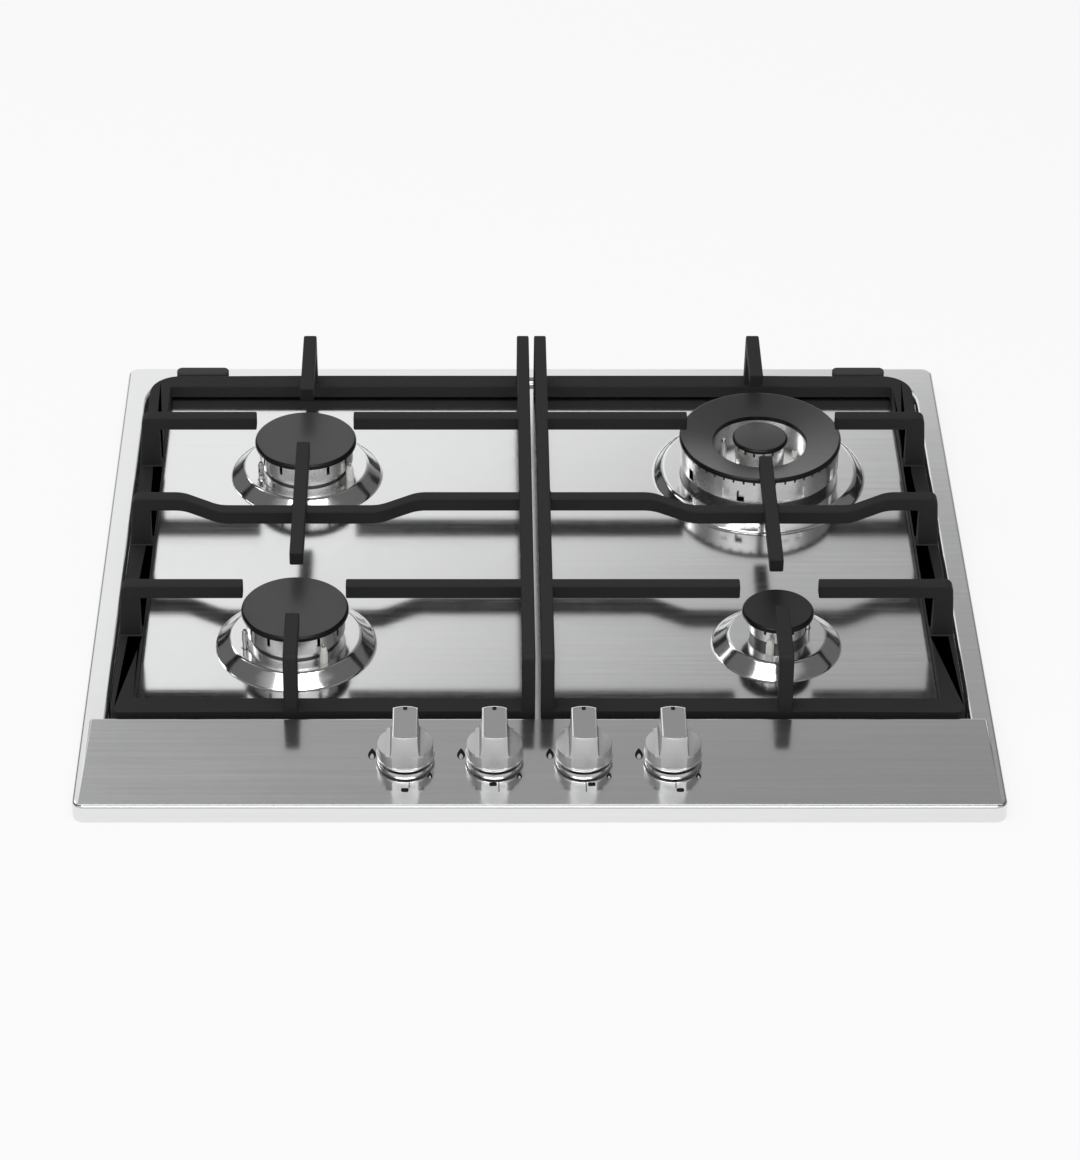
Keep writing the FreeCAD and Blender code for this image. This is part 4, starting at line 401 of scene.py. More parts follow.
# Lighter edges on the iron: partly wear, partly a painted highlight along the edges.
IRON = CastMetal("cast_iron", (0.012, 0.012, 0.0125), 0.42, grain=1700.0, relief=0.22, wear_and_highlight_colour=(0.1, 0.1, 0.1),
                 gloss=0.3)
ENAMEL = SatinEnamel("cap_enamel", (0.035, 0.035, 0.036), 0.36)
DARK_ENAMEL = SatinEnamel("dark_cap_enamel", (0.008, 0.008, 0.009), 0.4, gloss=0.35)
RING_ENAMEL = SatinEnamel("ring_cap_enamel", (0.03, 0.03, 0.031), 0.3, gloss=0.7)
# Near-black copy of the cap enamel for every face that doesn't face up: painted shade on the caps' sides.
CAP_SIDE_PAINTED_SHADE = SatinEnamel("cap_side_painted_shade_enamel", (0.004, 0.004, 0.0045), 0.3, gloss=0.3)
CROWN_METAL = CastMetal("crown_aluminium", (0.86, 0.86, 0.85), 0.24, metallic=1.0, grain=1200.0, relief=0.08,
                        wear_and_highlight_colour=(0.85, 0.85, 0.84), wear_and_highlight=0.5)
CUP_METAL = CastMetal("cup_aluminium", (0.12, 0.12, 0.12), 0.42, metallic=1.0, grain=1000.0, relief=0.2,
                      wear_and_highlight_colour=(0.3, 0.3, 0.3))
KNOB_METAL = CastMetal("knob_metal", (0.5, 0.5, 0.5), 0.34, metallic=1.0, grain=2600.0, relief=0.06,
                       wear_and_highlight_colour=(0.6, 0.6, 0.6), wear_and_highlight=0.3)
# Darker copy of the knob metal for the grip's face: painted shade.
KNOB_FACE_PAINTED_SHADE = CastMetal("knob_face_painted_shade", (0.4, 0.4, 0.405), 0.4, metallic=1.0, grain=2600.0, relief=0.06,
                      wear_and_highlight_colour=(0.5, 0.5, 0.5), wear_and_highlight=0.2)
# Brighter, glossier copy of the knob metal for the grip's rim and the foot's bead: a painted highlight.
KNOB_EDGE_PAINTED_HIGHLIGHT = CastMetal("knob_edge", (0.92, 0.92, 0.92), 0.2, metallic=1.0, grain=2600.0, relief=0.03,
                      wear_and_highlight_colour=(0.95, 0.95, 0.95), wear_and_highlight=0.2)
PLASTIC = Moulded("black_plastic", (0.012, 0.012, 0.013), 0.42)
RUBBER = Moulded("rubber", (0.014, 0.014, 0.014), 0.75, grain=1800.0)
FOAM = Moulded("seal_foam", (0.05, 0.05, 0.052), 0.95, grain=1100.0, relief=0.7, sheen=0.3)
CERAMIC = Moulded("white_ceramic", (0.85, 0.84, 0.8), 0.22, grain=700.0, relief=0.05)
SLEEVE = Moulded("lead_sleeve", (0.5, 0.09, 0.05), 0.55, grain=900.0)
BRASS = PlainMetal("brass", (0.72, 0.5, 0.2), 0.3, tarnish=(0.4, 0.25, 0.1))
COPPER = PlainMetal("copper", (0.8, 0.42, 0.28), 0.34, tarnish=(0.35, 0.16, 0.1))
ALUMINIUM = PlainMetal("aluminium_tube", (0.7, 0.7, 0.71), 0.32, tarnish=(0.5, 0.5, 0.5))
INK = Moulded("print_ink", (0.006, 0.006, 0.0065), 0.6, relief=0.05, gloss=0.12)
PALE_INK = Moulded("pale_print", (0.42, 0.43, 0.43), 0.45, relief=0.05)

SLOT_FINISH = {
    "steel_top": STEEL, "zinc_steel": PANEL_SLOT_STEEL, "foam_seal": FOAM, "black_plastic": PLASTIC,
    "brass": BRASS, "lead_sleeve": SLEEVE, "copper_tube": COPPER, "white_ceramic": CERAMIC,
    "bright_steel": SPRUNG_STEEL, "black_enamel": ENAMEL, "cast_iron": IRON, "rubber_foot": RUBBER,
    "aluminium_tube": ALUMINIUM, "burner_casting": CUP_METAL, "burner_crown": CROWN_METAL,
    "knob_metal": KNOB_METAL,
}


# ---------------------------------------------------------------- shared mesh work


def body_of(node: str) -> str:
    """Returns the body that a CAD node rides on."""
    return frame["nodes"][node]["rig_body"]


def slot_of(node: str) -> str:
    """Returns the record's material slot of a CAD node."""
    return next(part["material_slot"] for part in frame["record"]["subparts"] if part["node"] == node)


def settle(name: str, mesh: bpy.types.Mesh, finish: Finish, node: str, stands: bool = True) -> bpy.types.Object:
    """Puts a finished mesh in the scene as a piece.

    Args:
        name: The piece's name.
        mesh: Its mesh, in place.
        finish: Its finish.
        node: The CAD node whose body it takes.
        stands: Whether it stands for that node.

    Returns:
        The new object.
    """
    mesh.name = name
    if not mesh.materials:
        mesh.materials.append(finish.material())
    piece = bpy.data.objects.new(name, mesh)
    bpy.context.scene.collection.objects.link(piece)
    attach(piece, body_of(node))
    if stands:
        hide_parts(node)
    return piece


def baked(obj: bpy.types.Object) -> bpy.types.Mesh:
    """Applies an object's modifiers.

    Args:
        obj: A scratch object, which is removed.

    Returns:
        The plain mesh.
    """
    graph = bpy.context.evaluated_depsgraph_get()
    mesh = bpy.data.meshes.new_from_object(obj.evaluated_get(graph), depsgraph=graph)
    old = obj.data
    bpy.data.objects.remove(obj)
    if old.users == 0:
        bpy.data.meshes.remove(old)
    return mesh


def scratch(name: str, mesh: bpy.types.Mesh) -> bpy.types.Object:
    """Links a mesh as a scratch object that modifiers can work on."""
    obj = bpy.data.objects.new(name, mesh)
    bpy.context.scene.collection.objects.link(obj)
    return obj


def shade(mesh: bpy.types.Mesh, angle: float = 32.0) -> bpy.types.Mesh:
    """Shades a mesh smooth, with edges sharper than an angle kept sharp."""
    mesh.shade_smooth()
    mesh.set_sharp_from_angle(angle=math.radians(angle))
    return mesh


def joined(node: str) -> bmesh.types.BMesh:
    """Returns a CAD node's shape with its doubled corners joined."""
    work = bmesh.new()
    work.from_mesh(frame["nodes"][node].data)
    bmesh.ops.remove_doubles(work, verts=work.verts, dist=0.000004)
    return work


def to_mesh(work: bmesh.types.BMesh, name: str) -> bpy.types.Mesh:
    """Writes an edited shape to a new mesh and frees it."""
    mesh = bpy.data.meshes.new(name)
    work.to_mesh(mesh)
    work.free()
    return mesh


def merged_copy(node: str, flat: float = 0.6) -> bpy.types.Mesh:
    """Copies a CAD node's mesh with its triangles joined.

    Args:
        node: The CAD node.
        flat: Angle in degrees under which neighbouring faces become one.

    Returns:
        The joined mesh.
    """
    work = joined(node)
    bmesh.ops.dissolve_limit(work, angle_limit=math.radians(flat), verts=work.verts, edges=work.edges)
    mesh = to_mesh(work, f"{node}_copy")
    mesh.materials.clear()
    return mesh


def softened(node: str, radius: float, limit: float = 30.0) -> bpy.types.Mesh:
    """Copies a CAD node with its sharp edges rounded.

    Args:
        node: The CAD node.
        radius: Width of the rounding in millimetres.
        limit: Angle in degrees above which an edge is rounded.

    Returns:
        The mesh.
    """
    obj = scratch(node, merged_copy(node))
    rounding = obj.modifiers.new("rounding", "BEVEL")
    rounding.width = radius * MM
    rounding.segments = 3
    rounding.limit_method = "ANGLE"
    rounding.angle_limit = math.radians(limit)
    rounding.use_clamp_overlap = False
    rounding.loop_slide = False
    return shade(baked(obj), 40.0)


def weigh_normals(piece: bpy.types.Object) -> None:
    """Leaves flat faces flat where they meet a rounding."""
    weighted = piece.modifiers.new("even_normals", "WEIGHTED_NORMAL")
    weighted.keep_sharp = True
    weighted.weight = 100


def parted(mesh: bpy.types.Mesh, finishes: Sequence[Finish],
           choose: Callable[[bpy.types.MeshPolygon], int]) -> bpy.types.Mesh:
    """Gives a mesh several finishes.

    Args:
        mesh: The mesh, without materials.
        finishes: The finishes.
        choose: Tells the number of a face's finish.

    Returns:
        The same mesh.
    """
    for finish in finishes:
        mesh.materials.append(finish.material())
    for face in mesh.polygons:
        face.material_index = choose(face)
    return mesh


def lay_brushing(mesh: bpy.types.Mesh) -> None:
    """Lays the map along which the steel is brushed, from left to right."""
    layer = mesh.uv_layers.new(name=BRUSHING_MAP)
    for loop in mesh.loops:
        spot = mesh.vertices[loop.vertex_index].co
        layer.data[loop.index].uv = (spot.x, spot.y - spot.z)


def bridge(work: bmesh.types.BMesh, lower: Sequence[Any], upper: Sequence[Any]) -> None:
    """Joins two rings of corners with faces, which are triangles where a ring is a single point."""
    for index in range(len(lower)):
        after = (index + 1) % len(lower)
        corners = list(dict.fromkeys((lower[index], lower[after], upper[after], upper[index])))
        if len(corners) > 2:
            work.faces.new(corners)


def prism(work: bmesh.types.BMesh, lower: Sequence[Any], upper: Sequence[Any]) -> None:
    """Closes two outlines of corners to a solid."""
    work.faces.new(upper)
    work.faces.new(list(reversed(lower)))
    bridge(work, lower, upper)


def lathe(profile: Sequence[tuple[float, float]], centre: Vector, steps: int = 96) -> bmesh.types.BMesh:
    """Turns a closed profile round an upright axis.

    Args:
        profile: Corners as radius and height in millimetres, in order round the section.
        centre: Where the axis stands.
        steps: Faces round the axis.

    Returns:
        The turned shape.
    """
    work = bmesh.new()
    rings = []
    for radius, height in profile:
        if radius < 0.001:
            spot = work.verts.new((centre.x, centre.y, height * MM))
            rings.append([spot] * steps)
            continue
        ring = []
        for step in range(steps):
            turn = math.tau * step / steps
            ring.append(work.verts.new((centre.x + radius * MM * math.cos(turn),
                                        centre.y + radius * MM * math.sin(turn), height * MM)))
        rings.append(ring)
    for lower, upper in zip(rings, rings[1:] + rings[:1]):
        bridge(work, lower, upper)
    bmesh.ops.recalc_face_normals(work, faces=work.faces)
    return work


def centre_of(node: str) -> Vector:
    """Returns the middle of a CAD node's box."""
    low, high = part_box(node)
    return (low + high) / 2


# ---------------------------------------------------------------- geometry nodes


class GeometryTree:
    """A geometry tree with named inputs that is run once on a mesh."""

    def __init__(self, name: str, inputs: dict[str, tuple[str, Any]]) -> None:
        """Starts the tree.

        Args:
            name: The tree's name.
            inputs: Socket type and usual value of each named input.
        """
        self.tree = bpy.data.node_groups.new(name, "GeometryNodeTree")
        face = self.tree.interface
        face.new_socket("Geometry", in_out="INPUT", socket_type="NodeSocketGeometry")
        for label, (kind, value) in inputs.items():
            socket = face.new_socket(label, in_out="INPUT", socket_type=kind)
            if value is not None:
                socket.default_value = value
        face.new_socket("Geometry", in_out="OUTPUT", socket_type="NodeSocketGeometry")
        self.graph = Graph(self.tree)
        self.given = self.graph.add("NodeGroupInput")
        self.result = self.graph.add("NodeGroupOutput")

    def close(self, geometry: bpy.types.NodeSocket) -> None:
        """Ends the tree with real geometry that carries its material."""
        real = self.graph.add("GeometryNodeRealizeInstances", {0: geometry})
        dressed = self.graph.add("GeometryNodeSetMaterial", {
            "Geometry": real.outputs[0], "Material": self.given.outputs["Material"]})
        self.tree.links.new(dressed.outputs[0], self.result.inputs[0])

    def run(self, mesh: bpy.types.Mesh, values: dict[str, Any]) -> bpy.types.Mesh:
        """Runs the tree on a mesh.

        Args:
            mesh: The mesh it starts from.
            values: Values of the named inputs.

        Returns:
            The plain mesh it makes.
        """
        obj = scratch(self.tree.name, mesh)
        modifier = obj.modifiers.new(self.tree.name, "NODES")
        modifier.node_group = self.tree
        names = {item.name: item.identifier for item in self.tree.interface.items_tree
                 if item.in_out == "INPUT"}
        for label, value in values.items():
            modifier[names[label]] = value
        return baked(obj)


def slot_ring_tree() -> GeometryTree:
    """Makes the tree that cuts a ring of slots into the wall of a burner crown."""
    made = GeometryTree("slot_ring", {
        "Count": ("NodeSocketInt", 12), "Radius": ("NodeSocketFloat", 0.03),
        "Centre": ("NodeSocketVector", (0, 0, 0)), "Slot": ("NodeSocketVector", (0.006, 0.002, 0.006)),
        "First": ("NodeSocketFloat", 0.0), "Material": ("NodeSocketMaterial", None)})
    graph, given = made.graph, made.given
    cutter = graph.add("GeometryNodeMeshCube", {"Size": given.outputs["Slot"]})
    ring = graph.add("GeometryNodeMeshCircle", {"Vertices": given.outputs["Count"],
                                                "Radius": given.outputs["Radius"]})
    index = graph.add("GeometryNodeInputIndex").outputs[0]
    turn = graph.math("MULTIPLY", graph.math("DIVIDE", index, given.outputs["Count"]), math.tau)
    facing = graph.add("ShaderNodeCombineXYZ", {2: turn})
    cutters = graph.add("GeometryNodeInstanceOnPoints", {
        "Points": ring.outputs[0], "Instance": cutter.outputs[0], "Rotation": facing.outputs[0]})
    swing = graph.add("ShaderNodeCombineXYZ", {2: given.outputs["First"]})
    placed = graph.add("GeometryNodeTransform", {
        "Geometry": cutters.outputs[0], "Translation": given.outputs["Centre"], "Rotation": swing.outputs[0]})
    solid = graph.add("GeometryNodeRealizeInstances", {0: placed.outputs[0]})
    cut = graph.add("GeometryNodeMeshBoolean", {"Mesh 1": given.outputs["Geometry"],
                                                "Mesh 2": solid.outputs[0]}, operation="DIFFERENCE")
    made.close(cut.outputs[0])
    return made


def screw_tree() -> GeometryTree:
    """Makes the tree that sets a recessed screw at each point, head down."""
    made = GeometryTree("screw_set", {
        "Head radius": ("NodeSocketFloat", 0.002), "Head height": ("NodeSocketFloat", 0.0015),
        "Shank radius": ("NodeSocketFloat", 0.001), "Shank length": ("NodeSocketFloat", 0.008),
        "Material": ("NodeSocketMaterial", None)})
    graph, given = made.graph, made.given
    head_radius, head_height, shank_radius, shank_length = given.outputs[1:5]

    def part(value: Socket, share: float) -> Socket:
        return graph.math("MULTIPLY", value, share)

    def lifted(shape: Socket, value: Socket, share: float) -> Socket:
        rise = graph.add("ShaderNodeCombineXYZ", {2: part(value, share)}).outputs[0]
        return graph.add("GeometryNodeTransform", {"Geometry": shape, "Translation": rise}).outputs[0]

    def together(*shapes: Socket) -> Socket:
        join = graph.add("GeometryNodeJoinGeometry")
        for shape in shapes:
            graph.tree.links.new(shape, join.inputs[0])
        return join.outputs[0]

    head = graph.add("GeometryNodeMeshCone", {"Vertices": 20, "Radius Top": head_radius, "Depth": head_height,
                                              "Radius Bottom": part(head_radius, 0.78)})
    bar = graph.add("ShaderNodeCombineXYZ", {0: part(head_radius, 1.25), 1: part(head_radius, 0.3), 2: head_height})
    slot = graph.add("GeometryNodeMeshCube", {"Size": bar.outputs[0]}).outputs[0]
    crossed = graph.add("GeometryNodeTransform", {"Geometry": slot, "Rotation": (0, 0, math.pi / 2)}).outputs[0]
    recess = lifted(together(slot, crossed), head_height, -0.5)
    cut = graph.add("GeometryNodeMeshBoolean", {"Mesh 1": head.outputs[0], "Mesh 2": recess}, operation="DIFFERENCE")
    shank = graph.add("GeometryNodeMeshCylinder", {"Vertices": 14, "Radius": shank_radius, "Depth": shank_length})
    whole = together(lifted(shank.outputs[0], shank_length, 0.5), lifted(cut.outputs[0], head_height, -0.5))
    points = graph.add("GeometryNodeMeshToPoints", {"Mesh": given.outputs["Geometry"]})
    set_out = graph.add("GeometryNodeInstanceOnPoints", {
        "Points": points.outputs[0], "Instance": whole})
    made.close(set_out.outputs[0])
    return made


# ---------------------------------------------------------------- sub-assemblies


@dataclass
class SteelTop:
    """Pressed steel top with the covers over the hinge slots."""

    cover_round: float = 0.8

    def build(self) -> None:
        """Builds the top and its covers."""
        mesh = merged_copy("hob_top", 0.2)
        lay_brushing(mesh)
        shade(mesh, 50.0)
        top = settle("steel_top", mesh, STEEL, "hob_top")
        weigh_normals(top)
        for node in ("hinge_cover_left", "hinge_cover_right"):
            settle(node.replace("hinge", "slot"), softened(node, self.cover_round), PLASTIC, node)
        LOG.info("steel top: %d faces, 2 slot covers", len(mesh.polygons))


@dataclass
class PanSupports:
    """The two cast iron pan supports."""

    edge: float = 1.0

    def build(self) -> None:
        """Builds both castings."""
        for side in ("left", "right"):
            mesh = softened(f"pan_support_{side}", self.edge, 38.0)
            casting = settle(f"iron_support_{side}", mesh, IRON, f"pan_support_{side}")
            weigh_normals(casting)
            LOG.info("pan support %s: %d faces", side, len(mesh.polygons))


@dataclass
class Knob:
    """A satin metal knob: a low skirt with a bead round its foot and a bar grip with flat ends."""

    foot: float = 18.7
    bead: float = 1.5
    wall: float = 17.9
    wall_foot: float = 2.1
    shoulder: float = 9.6
    shoulder_round: float = 0.5
    height: float = 26.0
    end_foot: float = 16.3
    end_top: float = 17.3
    grip_foot: float = 9.6
    grip: float = 8.0
    flare: float = 2.6
    rim: float = 1.0
    rim_drop: float = 0.3
    notch: float = 1.3
    notch_length: float = 3.2
    end_steps: int = 14
    side_steps: int = 14
    rise_steps: int = 8
    collar: float = 18.1
    collar_bore: float = 10.3
    collar_top: float = 16.55
    hollow: float = 2.2
    hollow_share: float = 0.25
    collar_steps: int = 72
    collar_rim: float = 0.4
    collar_sunk: float = 0.3

    def outline(self, half: float, ends: float, bulge: float, side: float | None, height: float) -> list[Vector]:
        """Returns an outline round the knob at one height.

        Args:
            half: Half the width of the ends.
            ends: How far the middle of each end reaches.
            bulge: Share of roundness of the ends, from flat to a circle's.
            side: Radius of the sides, or None where they run straight.
            height: Height over the knob's foot.

        Returns:
            Points anticlockwise, from the front right.
        """
        sag = bulge * (ends - math.sqrt(max(ends * ends - half * half, 0.0)))
        corner = ends - sag
        turn = math.atan2(corner, half)
        quarter = []
        for step in range(self.side_steps):
            share = step / self.side_steps
            if side is None:
                quarter.append((half, -corner + 2 * corner * share))
            else:
                angle = -turn + 2 * turn * share
                reach = side if step else math.hypot(half, corner)
                quarter.append((reach * math.cos(angle), reach * math.sin(angle)))
        for step in range(self.end_steps):
            x = half - 2 * half * step / self.end_steps
            quarter.append((x, ends - sag * (x / half) ** 2))
        return [Vector((x, y, height)) for x, y in quarter] + [Vector((-x, -y, height)) for x, y in quarter]

    def circle(self, radius: float, height: float) -> list[Vector]:
        """Returns a circle at a height over the foot, with its points in the outline's order."""
        return [Vector((spot.x, spot.y, 0)).normalized() * radius + Vector((0, 0, height))
                for spot in self.outline(self.grip, self.end_foot, 0.0, self.wall, height)]

    def rings(self) -> list[list[Vector]]:
        """Returns the outlines from the inside of the foot to the rim of the grip."""
        width = self.grip * 1.03
        slope = (self.end_top - self.end_foot) / (self.height - self.wall_foot)
        below = self.shoulder - self.shoulder_round
        rings = [
            self.circle(self.foot - self.hollow, self.height * self.hollow_share),
            self.circle(self.foot - self.hollow, 0.0),
            self.circle(self.foot - 0.5, 0.0), self.circle(self.foot - 0.12, 0.25), self.circle(self.foot, 0.6),
            self.circle(self.foot, self.bead - 0.35), self.circle(self.foot - 0.2, self.bead),
            self.circle(self.foot - 0.6, self.bead + 0.1),
            self.outline(width, self.end_foot, 0.0, self.wall + 0.1, self.bead + 0.15),
            self.outline(width, self.end_foot, 0.0, self.wall, self.wall_foot),
        ]
        levels = ((below, 0.0), (self.shoulder - 0.15, 0.35), (self.shoulder, 1.0))
        for height, inset in levels:
            share = (height - self.wall_foot) / (self.height - self.wall_foot)
            rings.append(self.outline(width, self.end_foot + slope * (height - self.wall_foot), share,
                                      self.wall - inset * self.shoulder_round, height))
        for step in range(self.rise_steps + 1):
            rise = step / self.rise_steps
            height = self.shoulder + 0.05 + (self.height - self.rim * 0.5 - self.shoulder - 0.05) * rise ** 1.6
            share = (height - self.wall_foot) / (self.height - self.wall_foot)
            half = self.grip + (self.grip_foot - self.grip) * (1 - rise) ** 2 + (
                self.flare * max(0.0, 1 - rise * 5) ** 2)
            rings.append(self.outline(half, self.end_foot + slope * (height - self.wall_foot), share, None, height))
        for inset, drop in ((0.15, 0.2), (0.45, 0.03), (self.rim, 0.0), (self.rim + 0.12, self.rim_drop)):
            rings.append(self.outline(self.grip - inset, self.end_top - inset, 1.0, None, self.height - drop))
        return rings

    def mesh(self) -> bpy.types.Mesh:
        """Returns the knob's mesh with its foot at the origin."""
        work = bmesh.new()
        rows = [[work.verts.new(spot * MM) for spot in ring] for ring in self.rings()]
        for lower, upper in zip(rows, rows[1:]):
            bridge(work, lower, upper)
        work.faces.new(rows[-1])
        work.faces.new(list(reversed(rows[0])))
        bmesh.ops.remove_doubles(work, verts=work.verts, dist=0.000001)
        bmesh.ops.recalc_face_normals(work, faces=work.faces)
        mesh = parted(to_mesh(work, "knob"), (KNOB_METAL, KNOB_FACE_PAINTED_SHADE, KNOB_EDGE_PAINTED_HIGHLIGHT), self.part_of)
        return shade(mesh, 28.0)

    def part_of(self, face: bpy.types.MeshPolygon) -> int:
        """Tells whether a face takes the body's metal, the darker copy painted as shade on the grip's face, or the
        brighter copy painted as a highlight on its rim and the foot's bead.
        """
        spot = face.center / MM
        if spot.z > self.height - 0.6:
            return 1 if len(face.vertices) > 4 or spot.z < self.height - self.rim_drop * 0.4 and (
                abs(spot.x) < self.grip - self.rim) and abs(spot.y) < self.end_top - self.rim else 2
        low_bead = spot.z < self.bead + 0.2 and math.hypot(spot.x, spot.y) > self.foot - 1.0
        return 2 if low_bead else 0

    def build(self) -> None:
        """Builds the four knobs with their notches."""
        shape = self.mesh()
        for place in Place:
            node = f"knob_{place.value}"
            low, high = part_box(node)
            middle = (low + high) / 2
            copy = shape.copy()
            copy.transform(Matrix.Translation((middle.x, middle.y, low.z)))
            settle(f"control_knob_{place.value}", copy, KNOB_METAL, node)
            self.build_notch(node, place, Vector((middle.x, middle.y, high.z)))
            self.build_collar(place, middle / MM)
        LOG.info("knobs: 4, %d faces each", len(shape.polygons))

    def build_notch(self, node: str, place: "Place", top: Vector) -> None:
        """Builds the black marker at the back of a grip.

        Args:
            node: The knob's CAD node.
            place: Which knob.
            top: The middle of the grip's top.
        """
        work = bmesh.new()
        end = self.end_top - self.rim * 0.6
        near, far = end - self.notch_length, end - 0.1
        corners = [(-self.notch, near), (self.notch, near), (self.notch, far), (-self.notch, far)]
        lower, upper = ([work.verts.new(top + Vector((x * share, y, height)) * MM) for x, y in corners]
                        for share, height in ((1.0, -self.rim_drop - 0.1), (0.96, -0.02)))
        prism(work, lower, upper)
        settle(f"knob_marker_{place.value}", to_mesh(work, "marker"), INK, node, stands=False)

    def build_collar(self, place: "Place", middle: Vector) -> None:
        """Builds the low steel collar that levels the sloping panel under a knob.

        Args:
            place: Which knob.
            middle: The knob's middle, in millimetres.
        """
        panel = Marks()
        work = bmesh.new()
        rows = []
        rim, top = self.collar_rim, self.collar_top
        turned = rim * 0.3
        for radius, height in ((self.collar, None), (self.collar, top - rim), (self.collar - turned, top - turned),
                               (self.collar - rim, top), (self.collar_bore, top), (self.collar_bore, None)):
            ring = []
            for step in range(self.collar_steps):
                turn = math.tau * step / self.collar_steps
                x = middle.x + radius * math.cos(turn)
                y = middle.y + radius * math.sin(turn)
                sunk = panel.height(y) - self.collar_sunk
                ring.append(work.verts.new(Vector((x, y, sunk if height is None else max(height, sunk))) * MM))
            rows.append(ring)
        for lower, upper in zip(rows, rows[1:] + rows[:1]):
            bridge(work, lower, upper)
        bmesh.ops.recalc_face_normals(work, faces=work.faces)
        mesh = to_mesh(work, "collar")
        lay_brushing(mesh)
        settle(f"knob_collar_{place.value}", shade(mesh, 40.0), STEEL, "hob_top", stands=False)


class Place(Enum):
    """The four burners, and the taps and knobs that serve them."""

    FRONT_LEFT = "front_left"
    REAR_LEFT = "rear_left"
    REAR_RIGHT = "rear_right"
    FRONT_RIGHT = "front_right"


@dataclass
class BurnerHead:
    """Crown and cap of a burner with a single ring of flames."""

    place: Place
    radius: float
    wall: float
    slots: int
    slot_width: float
    slot_height: float
    cap_finish: Finish
    cap_edge: float = 0.45
    spigot_height: float = 4.0
    spigot_wall: float = 2.0
    rim: float = 0.5
    floor: float = 3.0

    def build(self, cutting: GeometryTree) -> None:
        """Builds the crown and the cap.

        Args:
            cutting: The tree that cuts the flame slots.
        """
        node = f"burner_crown_{self.place.value}"
        low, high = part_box(node)
        middle = centre_of(node)
        foot = low.z / MM
        top = high.z / MM
        band = foot + self.spigot_height
        inner = self.radius - self.wall
        spigot = inner - self.rim
        bore = spigot - self.spigot_wall
        made = cutting.run(to_mesh(lathe([
            (bore, foot), (spigot, foot), (spigot, band), (self.radius - self.rim, band),
            (self.radius, band + self.rim), (self.radius, top - 0.4), (self.radius - 0.4, top), (inner, top),
            (inner, band + self.floor), (bore, band + self.floor),
        ], middle), node), {
            "Count": self.slots, "Radius": (self.radius - self.wall / 2) * MM,
            "Centre": (middle.x, middle.y, (top - self.slot_height / 2 + 0.5) * MM),
            "Slot": (self.wall * 2 * MM, self.slot_width * MM, (self.slot_height + 1) * MM),
            "Material": CROWN_METAL.material()})
        settle(f"crown_{self.place.value}", shade(made, 30.0), CROWN_METAL, node)
        build_enamel_cap(f"burner_cap_{self.place.value}", self.cap_edge, self.cap_finish)
        LOG.info("burner %s: crown %d faces", self.place.value, len(made.polygons))


def build_enamel_cap(node: str, edge: float, face_finish: Finish) -> None:
    """Builds an enamelled cap whose sides and underside are painted darker as shade.

    Args:
        node: The cap's CAD node.
        edge: Rounding of its edges in millimetres.
        face_finish: Finish of its upper face.
    """
    # Faces that don't face up get the darker enamel: painted shade.
    mesh = parted(softened(node, edge, 20.0), (face_finish, CAP_SIDE_PAINTED_SHADE),
                  lambda face: 0 if face.normal.z > 0.955 else 1)
    weigh_normals(settle(f"{node}_enamelled", mesh, face_finish, node))


